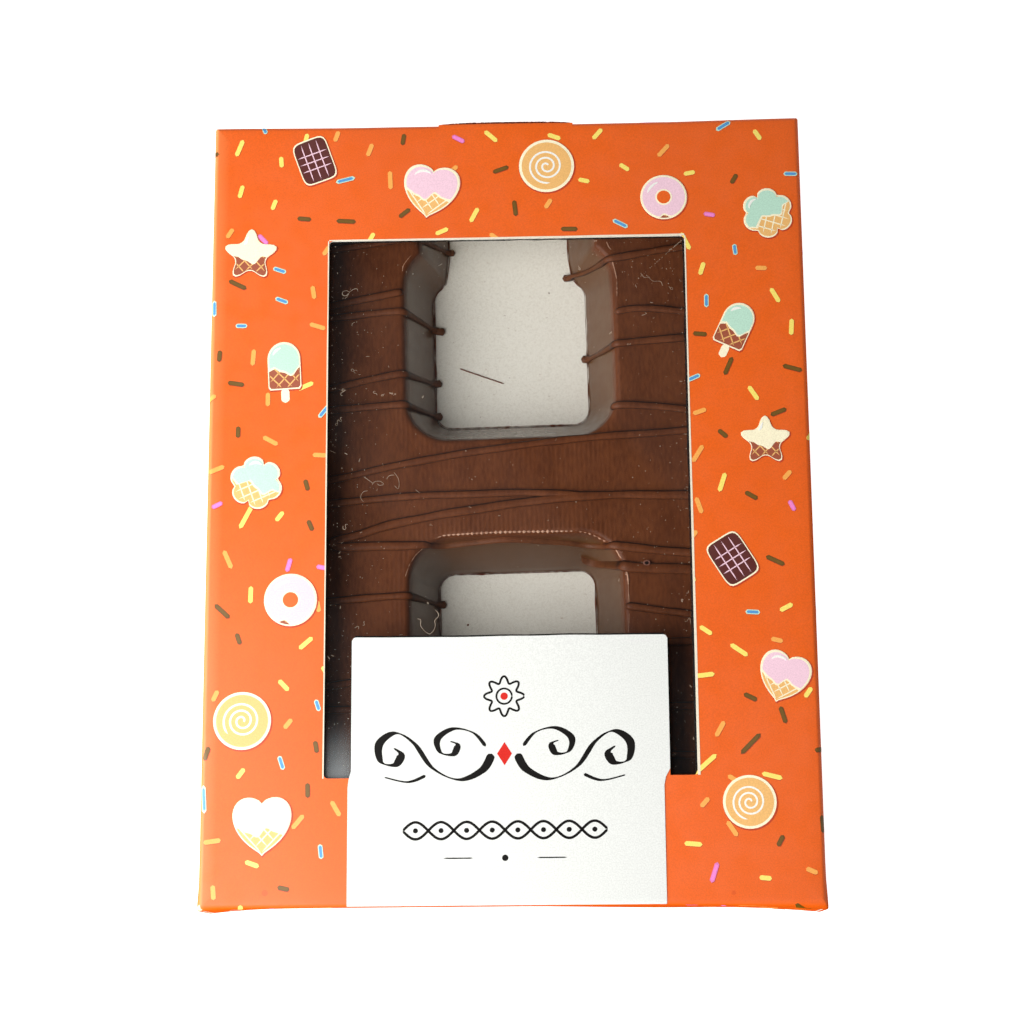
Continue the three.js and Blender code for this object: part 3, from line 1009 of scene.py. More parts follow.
@dataclass
class WindowFilm:
    """The clear sheet behind the window, stuck fast to the board."""

    carton: Carton
    half_x: float = 33.1
    half_y: float = 48.5
    top: float = 17.25
    thickness: float = 0.06
    slack: float = 0.1
    edge_shadow_height: float = 17.42

    def height(self, x: Grid, y: Grid) -> Grid:
        """Height of its upper side: slack waves that die out towards the edges where it is stuck fast."""
        free = np.clip(1 - np.abs(x) / 30, 0, 1) * np.clip(1 - np.abs(y) / 46, 0, 1)
        return self.top + self.slack * waves(x, y, 45, 31) * np.sqrt(free)

    def build(self) -> None:
        """Makes the film, with a milky patch at the lower left painted as a reflection, and faint slanting
        bands.
        """
        across, along = np.linspace(-self.half_x, self.half_x, 60), np.linspace(-self.half_y, self.half_y, 90)
        x, y = np.meshgrid(across, along)
        shell = Shell()
        shell.add(joined(x, y, self.height(x, y)), grid_faces(*x.shape))
        piece = shell.build("clear_window", [ClearFilm().build()], "clear_film")
        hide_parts("window_film")
        # painted reflection: a milky patch at the lower left stands in for the film's reflection of the
        # lamp's edge; faint slanting bands lie over the rest
        lower_left_band = smooth_step(-y, 33, 46) ** 2 * smooth_step(-x, 24.0, 27.5) * smooth_step(x, -32, -29)
        bands = np.clip(ripple(x * 0.8 + y * 0.6, 26, 33), 0, 1) ** 2
        mark(piece, "haze_and_painted_reflection", 0.16 * lower_left_band + 0.003 * bands)
        thicken(piece, self.thickness)
        self.edge_shadows()

    def edge_shadows(self) -> None:
        """Makes the dark lines of painted shadow: narrow strips that show inside the window's edge and beside
        the tab.
        """
        count = 60
        x, y = self.carton.window_width / 2, self.carton.window_length / 2
        tab, tab_end = self.carton.tab_width / 2, self.carton.tab_top - 0.5
        # painted shadow: dark strips just inside the window's edges and beside the tab, where the board's
        # edge shades the film
        runs = [
            ([-x, -y], [-x, y], [1, 0], 0.15), ([-x, y], [x, y], [0, -1], 0.22),
            ([x, -y], [x, y], [-1, 0], 0.36), ([-tab, -y], [-tab, tab_end], [-1, 0], 0.12),
            ([tab, -y], [tab, tab_end], [1, 0], 0.24),
        ]
        shell = Shell()
        share = np.linspace(0, 1, count)
        uneven = (1 + 0.15 * ripple(share * 90, 7, 34))[:, None] * [-0.15, 0.3, 1]
        for start, stop, way, width in runs:
            plan = between(start, stop, share)[:, None] + (width * uneven)[..., None] * way
            shell.add(joined(plan[..., 0], plan[..., 1], self.edge_shadow_height), grid_faces(count, 3))
        # painted shadow under the tab's top edge
        line = np.linspace(-tab, tab, 90)
        top = self.carton.tab_line(line)[:, None] + [-0.15, 0.12, 0.36]
        shell.add(joined(line[:, None], top, self.edge_shadow_height + 0.02), grid_faces(90, 3))
        thicken(shell.build("window_edge_shadows", [PaintedEdgeShadow().build()], "printed_board"), 0.02)


Shape = Callable[[Grid, Grid], Grid]


def disc(x: Grid, y: Grid) -> Grid:
    """Below 0 inside the unit circle."""
    return np.hypot(x, y) - 1


def heart(x: Grid, y: Grid) -> Grid:
    """Below 0 inside the curve where (x squared + y squared - 1) cubed is x squared times y cubed."""
    x, y = x * 1.12, y * 1.12 + 0.1
    return (x * x + y * y - 1) ** 3 - x * x * y**3


def star(x: Grid, y: Grid) -> Grid:
    """Below 0 inside a soft star: the radius swings five times round the middle."""
    turn = np.arctan2(y, x) - QUARTER
    return np.hypot(x, y) - (0.76 + 0.2 * np.cos(5 * turn) + 0.04 * np.cos(10 * turn))


def flower(x: Grid, y: Grid) -> Grid:
    """Below 0 inside six round petals."""
    return np.hypot(x, y) - (0.72 + 0.27 * np.sqrt(np.abs(np.cos(3 * np.arctan2(y, x)))))


def tablet(x: Grid, y: Grid) -> Grid:
    """Below 0 inside a rectangle with soft corners: a superellipse of the sixth power."""
    return ((x / 0.72) ** 6 + (y / 0.95) ** 6) ** (1 / 6) - 1


def lolly(x: Grid, y: Grid) -> Grid:
    """Below 0 inside an ice lolly's round-topped body."""
    low = np.maximum(np.abs(x) / 0.6, -y / 0.85) - 1
    return np.where(y > 0.3, np.hypot(x / 0.6, (y - 0.3) / 0.65) - 1, low)


def diamond(x: Grid, y: Grid) -> Grid:
    """Below 0 inside an upright diamond."""
    return np.abs(x) / 0.8 + np.abs(y) / 1.25 - 1


def reach_of(shape: Shape, centre: Spot, angle: Grid) -> Grid:
    """How far a shape's outline lies from a point inside it, found by halving twenty times.

    Args:
        shape: Below 0 inside.
        centre: Point inside.
        angle: Directions.

    Returns:
        The distances.
    """
    low, high = np.zeros_like(angle), np.full_like(angle, 2.2)
    for _ in range(20):
        middle = (low + high) / 2
        inside = shape(centre[0] + middle * np.cos(angle), centre[1] + middle * np.sin(angle)) < 0
        low, high = np.where(inside, middle, low), np.where(inside, high, middle)
    return low


def scaled(shape: Shape, share: float) -> Shape:
    """The same shape, made smaller about its middle."""
    return lambda x, y: shape(x / share, y / share)


def above(shape: Shape, drip: float, phase: float) -> Shape:
    """The part of a shape over a wavy line, as glaze runs down a biscuit.

    Args:
        shape: Below 0 inside.
        drip: Mean height of the line.
        phase: Where its waves start.

    Returns:
        The shape.
    """
    def glazed(x: Grid, y: Grid) -> Grid:
        """Below 0 inside the shape and over the line."""
        line = drip + 0.13 * np.sin(6.5 * x + phase) + 0.05 * np.sin(13 * x + 2 * phase)
        return np.maximum(shape(x, y), line - y)

    return glazed


def layer(number: float) -> float:
    """Height over the board of a sweet's layers of ink, counted from its shadow."""
    return 0.04 + 0.012 * number


@dataclass(frozen=True)
class Placing:
    """Where a motif lies: its middle, its half size and how far it is turned."""

    x: float
    y: float
    size: float
    turn: float = 0.0

    def put(self, x: Grid, y: Grid) -> Grid:
        """Carries the motif's own coordinates to the panel's."""
        c, s = math.cos(self.turn) * self.size, math.sin(self.turn) * self.size
        return joined(self.x + c * x - s * y, self.y + s * x + c * y)


@dataclass
class Print:
    """Ink on the carton: patches a few hundredths of a millimetre proud, their rims sunk in the board."""

    carton: Carton
    side: Side = Side.FRONT
    shell: Shell = field(default_factory=Shell)
    sunk: float = -0.05

    def lay(self, plan: Grid, lift: float, ink: Colour, ring: bool = True) -> None:
        """Lays one patch on the board, cut off where it would hang into the window.

        Args:
            plan: Grid of places on the panel, as (rows, columns, 2). Its first and last columns are
                sunk, or its last two rows where the rows are rings.
            lift: Height over the board.
            ink: Its colour.
            ring: Whether each row is a section that closes under the patch.
        """
        rows, columns = plan.shape[:2]
        height = np.full(plan.shape[:2], lift)
        if ring:
            height[:, [0, -1]] = self.sunk
        else:
            height[-2:] = self.sunk
        half = np.array([self.carton.window_width / 2, self.carton.window_length / 2])
        depth = half - np.abs(plan)
        hanging = (depth > 0).all(-1) & (self.side is Side.FRONT) & (not self.on_tab(plan))
        nearest = depth[..., :1] < depth[..., 1:]
        pushed = np.where(np.concatenate([nearest, ~nearest], -1), np.sign(plan) * half, plan)
        cut = np.where(hanging[..., None], pushed, plan)
        faces = grid_faces(rows, columns, ring=True)
        faces = faces[~hanging.reshape(-1)[faces].all(1)]
        if len(faces):
            points = self.carton.wrap(cut, height, self.side)
            self.shell.add(points, faces if ring else faces[:, ::-1], ink=ink)

    def on_tab(self, plan: Grid) -> bool:
        """Whether a patch lies on the label tab, where nothing is cut off."""
        x, y = plan.reshape(-1, 2).mean(0)
        return abs(x) < self.carton.tab_width / 2 + 0.5 and y < self.carton.tab_top

    def stroke(self, path: Grid, width: Grid | float, lift: float, ink: Colour, step: float = 0.0) -> None:
        """Draws a line with round ends.

        Args:
            path: Points of its middle line, as (n, 2).
            width: Width, the same all along or at each point.
            lift: Height over the board.
            ink: Its colour.
            step: Length between points, when the path is to be divided evenly.
        """
        if step:
            path = evenly(path, step, 5)
        ahead = unit(np.gradient(path, axis=0))
        across = joined(ahead[:, 1], -ahead[:, 0])
        half = np.asarray(width) / 2 * round_ends(len(path), run_of(path)[-1], float(np.max(width)) / 2)
        out = half[:, None] * [-1, -1, -0.35, 0.35, 1, 1]
        self.lay(path[:, None] - across[:, None] * out[..., None], lift, ink)

    def blob(self, shape: Shape, place: Placing, lift: float, ink: Colour, inner: Spot = (0, 0)) -> None:
        """Fills a shape with rings round a point inside it.

        Args:
            shape: Below 0 inside.
            place: Where it lies on the panel.
            lift: Height over the board.
            ink: Its colour.
            inner: Point of the shape that sees its whole outline.
        """
        angle = full_turn(56)
        reach = np.array([0, 0.3, 0.6, 0.85, 1, 1, 0])[:, None] * reach_of(shape, inner, angle)
        x, y = inner[0] + reach * np.cos(angle), inner[1] + reach * np.sin(angle)
        self.lay(place.put(x, y), lift, ink, ring=False)

    def finish(self, name: str, ink: Finish) -> None:
        """Makes all the patches one piece, with crisp rims."""
        piece = self.shell.build(name, [ink], "printed_board", weld=0.003, closed=True)
        piece.data.set_sharp_from_angle(angle=CRISP_FROM)


class Sweet(Enum):
    """The kinds of printed sweet: outline, ink of the body and ink of the glaze."""

    HEART = (heart, "waffle", "rose")
    STAR = (star, "brown", "cream")
    FLOWER = (flower, "waffle", "mint")
    BISCUIT = (disc, "cream", "waffle")
    TABLET = (tablet, "dark", "brown")
    LOLLY = (lolly, "brown", "mint")
    RING = (disc, "brown", "rose")


LINE_INKS = {"dark": "rose", "brown": "waffle", "waffle": "cream"}


@dataclass
class Motif:
    """One printed sweet, drawn from its shadow up: pale rim, body, pattern, glaze and shine."""

    sheet: Print
    kind: Sweet
    place: Placing
    phase: float

    def draw(self) -> None:
        """Lays its patches on its sheet."""
        shape, body, glaze = self.kind.value
        low = Placing(self.place.x + 0.1, self.place.y - 0.14, self.place.size * 1.03, self.place.turn)
        self.sheet.blob(shape, low, layer(0), INKS["shadow"])
        self.sheet.blob(shape, self.place, layer(1), INKS["cream"])
        if self.kind is Sweet.LOLLY:
            stick = self.place.put(np.array([0.0, 0.0]), np.array([-0.8, -1.35]))
            self.sheet.stroke(stick, self.place.size * 0.3, layer(0.5), INKS["cream"], 0.3)
        inner = scaled(shape, 0.94)
        self.sheet.blob(inner, self.place, layer(2), INKS[body])
        if self.kind is Sweet.BISCUIT:
            self.icing()
            return
        self.lines(inner)
        if self.kind is Sweet.TABLET:
            return
        drip, eye = (-0.9, (0.0, 0.0)) if self.kind is Sweet.RING else (-0.15, (0.0, 0.3))
        rim = above(scaled(shape, 0.97), drip - 0.05, self.phase)
        self.sheet.blob(rim, self.place, layer(4), INKS["cream"], eye)
        top = above(scaled(shape, 0.91), drip + 0.02, self.phase)
        self.sheet.blob(top, self.place, layer(5), INKS[glaze], eye)
        if self.kind is Sweet.RING:
            self.sheet.blob(scaled(disc, 0.36), self.place, layer(6), INKS["cream"])
            self.sheet.blob(scaled(disc, 0.29), self.place, layer(7), INKS["flood"])
        self.shine(top, eye)

    def shine(self, top: Shape, eye: Spot) -> None:
        """Draws the white crescent that follows the glaze's upper left edge.

        Args:
            top: The glaze.
            eye: Point of the glaze that sees its whole outline.
        """
        angle = np.linspace(1.75, 2.75, 12)
        reach = reach_of(top, eye, angle) * 0.78
        path = self.place.put(eye[0] + reach * np.cos(angle), eye[1] + reach * np.sin(angle))
        width = 0.1 * self.place.size * np.sin(np.linspace(0.3, 2.8, 12))
        self.sheet.stroke(path, width, layer(8), INKS["white"])

    def icing(self) -> None:
        """Draws a biscuit's glaze and the spiral of icing on it."""
        turn = np.linspace(0, 5.4 * HALF_TURN, 90)
        reach = 0.06 + 0.6 * turn / turn[-1]
        self.sheet.blob(scaled(disc, 0.9), self.place, layer(3), INKS[self.kind.value[2]])
        spiral = self.place.put(reach * np.cos(turn), reach * np.sin(turn))
        self.sheet.stroke(spiral, 0.07 * self.place.size, layer(4), INKS["white"])

    def lines(self, inner: Shape) -> None:
        """Draws the lines on the body, slanting as on a waffle or upright as on a tablet.

        Args:
            inner: The body.
        """
        ink = INKS[LINE_INKS[self.kind.value[1]]]
        upright = self.kind is Sweet.TABLET
        gaps = (-0.32, 0.0, 0.32) if upright else (-0.6, -0.3, 0.0, 0.3, 0.6)
        for slant in (0.0, QUARTER) if upright else (0.8, 2.3):
            for gap in gaps:
                middle = (-gap * math.sin(slant), gap * math.cos(slant))
                if inner(*map(np.array, middle)) > -0.05:
                    continue
                reach = reach_of(inner, middle, np.array([slant, slant + HALF_TURN])) * 0.93
                run = np.linspace(-reach[1], reach[0], 8)
                path = self.place.put(middle[0] + run * math.cos(slant), middle[1] + run * math.sin(slant))
                self.sheet.stroke(path, 0.045 * self.place.size, layer(3), ink)


SPRINKLE_INKS = {"yellow": 0.3, "light orange": 0.3, "olive": 0.22, "pink": 0.08, "blue": 0.1}
SPRINKLE_LENGTHS = {2.0: 0.27, 2.4: 0.3, 2.9: 0.23, 3.4: 0.12, 4.6: 0.08}


@dataclass
class Artwork:
    """The scattered print: sprinkles and sweets on the front, the walls and the back."""

    carton: Carton
    sprinkle_width: float = 0.76
    motif_gap: float = 19.4
    motif_size: float = 4.3
    wall_motif_x: float = 58.4
    stains: Plan = ((-39.3, -63.6, 0.5), (35.3, -64.2, 0.33))
    back_spots: Plan = (
        (-40, -56), (-39, -14), (-41, 30), (-20, 56), (21, -54), (40, 55), (39, 12), (41, -33),
    )

    def motif_places(self) -> list[Placing]:
        """Places at an equal gap along the middle of the frame, swung from side to side.

        Returns:
            The places, from the label's left round to its right.
        """
        x = (self.carton.window_width / 2 + self.carton.width / 2) / 2
        y = (self.carton.window_length / 2 + self.carton.length / 2) / 2
        loop = np.array([[-33, -y], [-x, -y], [-x, y], [x, y], [x, -y], [33, -y]])
        run = run_of(loop)[-1]
        count = round(run / self.motif_gap)
        spots = points_at(loop, (np.arange(count) + 0.35) * run / count)
        swing = np.array([2.6, -3.4, 4.2, -1.8])[np.arange(count) % 4]
        beside = np.abs(spots[:, 1]) < y - 3
        spots += joined(np.where(beside, swing, 0), np.where(beside, 0, swing))
        draw = np.random.default_rng(4)
        return [
            Placing(px, py, self.motif_size * draw.uniform(0.88, 1.1), draw.uniform(-0.6, 0.6))
            for px, py in spots
        ]

    def scatter(self, sheet: Print, half: Spot, gap: float, seed: int, keep: Callable[[Grid], bool]) -> None:
        """Scatters sprinkles no closer than the gap.

        Args:
            sheet: Sheet that takes them.
            half: Half the width and length of the flat print, walls included.
            gap: Least distance between their middles.
            seed: Seed of the places.
            keep: Whether a place may be used.
        """
        draw = np.random.default_rng(seed)
        taken = np.empty((0, 2))
        for spot in draw.uniform(-1, 1, (5200, 2)) * half:
            if not keep(spot) or (len(taken) and np.hypot(*(taken - spot).T).min() < gap):
                continue
            taken = np.vstack([taken, spot])
            long = draw.choice(list(SPRINKLE_LENGTHS), p=list(SPRINKLE_LENGTHS.values()))
            angle = draw.uniform(0, HALF_TURN)
            name = draw.choice(list(SPRINKLE_INKS), p=list(SPRINKLE_INKS.values()))
            path = spot + np.linspace(-long / 2, long / 2, 11)[:, None] * aim(angle)
            self.sprinkle(sheet, spot, path, name)

    def sprinkle(self, sheet: Print, spot: Grid, path: Grid, name: str) -> None:
        """Draws one sprinkle: a soft dark edge at its lower right, its body and a stronger heart.

        Args:
            sheet: Sheet that takes it.
            spot: Its middle.
            path: Its middle line.
            name: Its ink.
        """
        sheet.stroke(path + [0.05, -0.07], self.sprinkle_width * 1.08, 0.012, INKS["shadow"])
        blue = name == "blue"
        sheet.stroke(path, self.sprinkle_width, 0.022, INKS["mint" if blue else name])
        on_panel = sheet.side is Side.FRONT and np.abs(spot[0]) < self.carton.width / 2
        if on_panel and name in ("blue", "pink", "olive"):
            heart_ink = tuple(np.minimum(np.array(INKS[name]) * (1.0 if blue else 1.25), 1))
            sheet.stroke(spot + (path - spot) * 0.82, self.sprinkle_width * 0.62, 0.031, heart_ink)

    def on_front(self, spot: Grid) -> bool:
        """Whether a place lies on the frame or on a wall, clear of the label, the seams and the slot.

        Args:
            spot: The place on the flat print.

        Returns:
            True where a sprinkle may lie.
        """
        x, y = np.abs(spot)
        in_window = x < 29.9 and y < 45.2
        on_label = x < 27.6 and spot[1] < -40
        at_seam = y > 64.5 and (x > 46.5 or y > 80 or (x < 14 and spot[1] > 0 and y < 69.5))
        return not (in_window or on_label or at_seam or x > 63.5 or (x > 48 and y > 62.5))

    def on_back(self, spot: Grid) -> bool:
        """Whether a place on the back lies clear of its white field."""
        return not (abs(spot[0]) < 31 and abs(spot[1]) < 41)

    def draw_sweet(self, sheet: Print, number: int, place: Placing, phase: float) -> None:
        """Draws one sweet, its kind taken in turn by its number."""
        Motif(sheet, list(Sweet)[number % len(Sweet)], place, phase).draw()

    def build(self) -> None:
        """Makes the sprinkles and the sweets of both sides."""
        ink = PrintedBoard("printed_inks").build()
        front = Print(self.carton)
        self.scatter(front, (65, 82), 5.2, 11, self.on_front)
        for stain in self.stains:
            front.blob(disc, Placing(*stain), 0.01, INKS["stain"])
        front.finish("front_sprinkles", ink)
        back = Print(self.carton, Side.BACK)
        self.scatter(back, (48.5, 64), 5.6, 12, self.on_back)
        back.finish("back_sprinkles", ink)
        sweets = Print(self.carton)
        for number, place in enumerate(self.motif_places()):
            self.draw_sweet(sweets, number * 3, place, 0.9 * number)
        for number, y in enumerate(np.linspace(-48, 48, 5)):
            for side in (-1, 1):
                turned = Placing(side * self.wall_motif_x, float(y) + side * 4, 4.0, 0.3 * number - 0.6)
                self.draw_sweet(sweets, number * 2 + side, turned, 0.7 * number)
        sweets.finish("front_sweets", ink)
        rear = Print(self.carton, Side.BACK)
        for number, (x, y) in enumerate(self.back_spots):
            turned = Placing(x, y, self.motif_size, 0.4 * (number % 3) - 0.4)
            self.draw_sweet(rear, number * 3 + 1, turned, 1.1 * number)
        self.back_panel(rear)
        rear.finish("back_sweets", ink)

    def back_panel(self, sheet: Print) -> None:
        """Prints the bare white field in the middle of the back, a superellipse.

        Args:
            sheet: Sheet that takes it.
        """
        around = aim(full_turn(120))
        edge = np.sign(around) * np.abs(around) ** 0.25 * [29, 39]
        reach = np.array([0, 0.25, 0.5, 0.75, 1, 1, 0])[:, None, None]
        sheet.lay(reach * edge, 0.04, INKS["white"], ring=False)


@dataclass
class Label:
    """The white field on the tab and below it, with a generic ornament in black and a little red."""

    carton: Carton
    left: float = -26.2
    right: float = 24.7
    foot: float = -65.85
    middle: float = -0.9
    ink_height: float = 0.115
    pen: float = 0.22
    rosette_height: float = -32.5
    scroll_height: float = -42
    braid_height: float = -54
    braid_loop: float = 4.1
    scrolls: tuple[tuple[float, Plan], ...] = (
        (1.35, ((2, 0.2), (3.6, -2.4), (7.4, -3.9), (11.6, -2), (14.6, 2), (17.6, 3.7), (20.2, 2),
                (19.9, -0.9), (17.7, -1.4), (16.7, 0.2), (17.9, 1.3))),
        (1.1, ((3, 1.4), (5, 3.6), (8.2, 4.3), (10.8, 2.7), (10.3, 0.5), (8.3, 0.2), (7.6, 1.7), (8.8, 2.3))),
        (0.7, ((12.7, -3.2), (15.6, -4.2), (19.4, -3.4))),
    )

    def __post_init__(self) -> None:
        """Takes a new sheet for the ornament, and its ink."""
        self.drawing = Print(self.carton)
        self.ink = PrintedBoard("label_inks", gleam=0.2).build()

    def field_plan(self) -> Grid:
        """Columns of the field, from its foot to the tab's straight top with rounded corners.

        Returns:
            Its places, as (rows, columns, 2).
        """
        half = self.carton.tab_width / 2 - 0.01
        ends = np.linspace(0, 0.02, 5)
        place = np.concatenate([ends, np.linspace(0.03, 0.97, 68), 1 - ends[::-1]])
        x = self.left + place * (self.right - self.left)
        full = (2 * place - 1) * half
        top = self.carton.tab_line(full) - 0.01
        share = np.append(np.linspace(0, 0.05, 7), np.linspace(0.1, 1, 30))[:, None]
        y = self.foot + share * (top - self.foot)
        on_tab = np.clip(y + self.carton.window_length / 2 + 0.5, 0, 1)
        return joined(x + on_tab * (full - x), y)

    def dot(self, shape: Shape, x: float, y: float, size: float, name: str = "black") -> None:
        """Fills a small shape with an ink, its place given from the label's middle."""
        self.drawing.blob(shape, Placing(self.middle + x, y, size), self.ink_height, INKS[name])

    def line(self, path: Grid, height: float, width: Grid | float, step: float = 0.0) -> None:
        """Draws a black line, its points given from the label's middle and this place along the pack."""
        self.drawing.stroke(path + [self.middle, height], width, self.ink_height, INKS["black"], step)

    def scroll(self, plan: Plan, heavy: float) -> None:
        """Draws a pen scroll and its mirror image: thin where it runs level, thick where it climbs.

        Args:
            plan: Points of the right-hand one, from the middle of the label.
            heavy: Greatest width.
        """
        path = curve_through(plan, 0.22)
        ahead = np.gradient(path, axis=0)
        slope = np.abs(np.sin(np.arctan2(ahead[:, 1], ahead[:, 0]) - 0.35))
        for side in (-1, 1):
            width = self.pen + (heavy - self.pen) * slope**1.5
            self.line(path * [side, 1], self.scroll_height, width)

    def rosette(self) -> None:
        """Draws the small rosette at the top: a ring of petals, a ring and a dot."""
        angle = np.linspace(0, 2 * HALF_TURN, 120)
        for reach, width in ((2.7 + 0.55 * np.cos(8 * angle), 0.34), (1.25 + 0 * angle, 0.3)):
            self.line(reach[:, None] * aim(angle), self.rosette_height, width)
        self.dot(disc, 0, self.rosette_height, 0.6, "red")

    def braid(self) -> None:
        """Draws two waves that cross, and a dot in each of their loops."""
        loop, height = self.braid_loop, self.braid_height
        x = np.linspace(-4 * loop, 4 * loop, 180)
        for side in (-1, 1):
            self.line(joined(x, side * 1.35 * np.sin(x * HALF_TURN / loop)), height, 0.42)
        for number in range(-4, 4):
            self.dot(disc, (number + 0.5) * loop, height, 0.4)

    def build(self) -> None:
        """Makes the field, the ornament and the bare margin round the window."""
        plan = self.field_plan()
        shell = Shell()
        shell.add(self.carton.wrap(plan, 0.1), grid_faces(*plan.shape[:2]), ink=INKS["label"])
        thicken(shell.build("label_field", [self.ink], "printed_board"), 0.14)
        self.rosette()
        for heavy, scroll in self.scrolls:
            self.scroll(scroll, heavy)
        self.dot(diamond, 0, -41.8, 1.5, "red")
        self.braid()
        for side in (-1, 1):
            self.line(np.array([[5.1, 0], [9.9, 0]]) * [side, 1], -58.4, 0.2, 0.5)
        self.dot(disc, 0, -58.4, 0.5)
        self.drawing.finish("label_ornament", self.ink)
        self.margin()

    def margin(self) -> None:
        """Makes the bare white strips beside the window, where the print missed its edge a little."""
        sheet = Print(self.carton)
        x, y = self.carton.window_width / 2, self.carton.window_length / 2
        lines = [([-x, -y], [-x, y], 0.2, 0.18), ([-x, y], [x, y], 0.18, 0.3), ([x, y], [x, -y], 0.17, 0.42)]
        share = np.concatenate([[0], np.linspace(0, 1, 70), [1]])
        for start, stop, near, far in lines:
            path = between(start, stop, share)
            width = near + (far - near) * share + 0.015 * ripple(share * 90, 14, 9)
            width[[0, -1]] = 0
            out = np.sign(path) * (np.abs(np.array(start) - np.array(stop)) < 1)
            strip = width[:, None] * [0, 0, 0.5, 1, 1]
            sheet.lay(path[:, None] + out[:, None] * strip[..., None], 0.034, INKS["margin"])
        sheet.finish("window_margin", self.ink)


@dataclass
class LetterForm:
    """Plan and profile of the letter H: every edge is the foot's edge moved in by an inset."""

    half_width: float = 47
    half_length: float = 63.2
    height: float = 10.6
    draft: float = 4.9
    stem_inner: float = 13.4
    serif_reach: float = 2.8
    serif_start: float = 40
    bracket: float = 3
    bracket_steps: int = 40
    notch: float = 2.8
    crossbar_top: float = 16.9
    crossbar_bottom: float = 8.9
    edge_round: float = 1
    serif_corner: float = 0.8
    foot_in: float = 0.7
    foot_up: float = 0.45
    rib_gap: float = 0.79
    turn: float = math.radians(1.1)
    shift: float = 0.75
    base: float = 0.75
    sunk: float = 0.27

    def __post_init__(self) -> None:
        """Works out the inset of the flat face."""
        self.slope_inset = self.draft * (self.height - self.edge_round) / self.height
        self.face_inset = self.slope_inset + self.edge_round

    def place(self, points: Grid) -> Grid:
        """Turns and shifts points from the letter's own axes to the pack's."""
        c, s = math.cos(self.turn), math.sin(self.turn)
        x, y, z = np.moveaxis(points, -1, 0)
        return joined(c * x - s * y + self.shift, s * x + c * y, z + self.base)

    def bracket_columns(self, inset: float) -> tuple[Grid, Grid]:
        """The concave bracket under a serif, from the stem outwards.

        Args:
            inset: How far the edge is moved in.

        Returns:
            How far the arc has run sideways from the stem, and its height along the letter.
        """
        radius = self.bracket + inset
        end = math.acos((self.bracket - self.serif_reach + inset) / radius)
        angle = np.linspace(0, end, self.bracket_steps + 1)
        return radius * (1 - np.cos(angle)), self.serif_start + radius * np.sin(angle)

    def soften(self, points: Grid, corner: Spot, way: int, inset: float, reach: float) -> Grid:
        """Blunts the foot corner of a serif: points near it move into the letter and up along it.

        The move falls evenly with the distance from the corner and dies out up the wall.

        Args:
            points: Points of the outline.
            corner: The corner.
            way: 1 where the letter lies at greater X, -1 where at smaller.
            inset: How far the edge is moved in.
            reach: Distance at which the move ends.

        Returns:
            The moved points.
        """
        near = np.clip(1 - np.linalg.norm(points - corner, axis=1) / reach, 0, 1)
        near *= np.clip(1 - inset / 3, 0, 1)
        return points + near[:, None] * [way * self.foot_in, self.foot_up]

    def quarter(self, inset: float, floor: float) -> Grid:
        """A quarter of the outline, from the middle of the crossbar's edge to the middle of the outer side.

        Args:
            inset: How far the edge is moved in from the foot.
            floor: Place of the crossbar's edge at the foot.

        Returns:
            Its points; their number is the same at every inset.
        """
        inner, outer = self.stem_inner + inset, self.half_width - self.serif_reach - inset
        top, eye = self.half_length - inset, floor + self.notch
        notch_x, radius = self.stem_inner - self.notch, self.notch + inset
        turn = np.linspace(0, QUARTER, 101)
        side, rise = self.bracket_columns(inset)
        left, right = inner - side[-1], outer + side[-1]
        round_off = max(self.serif_corner - inset, 0)
        bar = joined(np.linspace(0, notch_x, 82)[:-1], floor - inset)
        arc = joined(notch_x + radius * np.sin(turn), eye - radius * np.cos(turn))
        stem = joined(inner, np.linspace(eye, self.serif_start, self.stem_rows(floor) + 1)[1:-1])
        up = np.linspace(rise[-1], top - round_off, 13)[1:]
        angle = np.linspace(0, QUARTER, 5)[1:-1]
        corner = joined(1 - np.cos(angle), np.sin(angle) - 1) * round_off
        across = np.concatenate([(inner - side)[::-1], np.linspace(inner, outer, 154)[1:-1], outer + side])
        crown = joined(np.clip(across, left + round_off, right - round_off), top)
        waist = joined(outer, np.append(self.stem_lines(floor)[::-1], 0))
        in_foot, out_foot = (left, rise[-1]), (right, rise[-1])
        in_arc = self.soften(joined(inner - side, rise), in_foot, 1, inset, 1.6)
        in_side = self.soften(joined(left, up), in_foot, 1, inset, 4.6)
        out_side = self.soften(joined(right, up[::-1]), out_foot, -1, inset, 4.6)
        out_arc = self.soften(joined(outer + side, rise)[::-1], out_foot, -1, inset, 1.6)
        out_corner = (corner * [-1, 1])[::-1] + [right, top]
        inward = [bar, arc, stem, in_arc, in_side, corner + [left, top]]
        return np.concatenate([*inward, crown, out_corner, out_side, out_arc, waist])

    def stem_rows(self, floor: float) -> int:
        """Number of steps between the crossbar's fillet and the serif bracket."""
        return math.ceil((self.serif_start - floor - self.notch) / 1.5)

    def stem_lines(self, floor: float) -> Grid:
        """Places of the leg's cross lines between the crossbar's middle and the serif, rising."""
        eye = floor + self.notch
        bar = np.linspace(0, eye, 12)[1:]
        return np.append(bar, np.linspace(eye, self.serif_start, self.stem_rows(floor) + 1)[1:-1])

    def ring(self, inset: float) -> Grid:
        """The whole outline.

        Args:
            inset: How far the edge is moved in.

        Returns:
            Its points in order, as (n, 2).
        """
        upper = self.quarter(inset, self.crossbar_top)
        lower = self.quarter(inset, self.crossbar_bottom) * [1, -1]
        right = np.concatenate([upper, lower[::-1][1:]])
        return np.concatenate([right, (right * [-1, 1])[::-1][1:-1]])

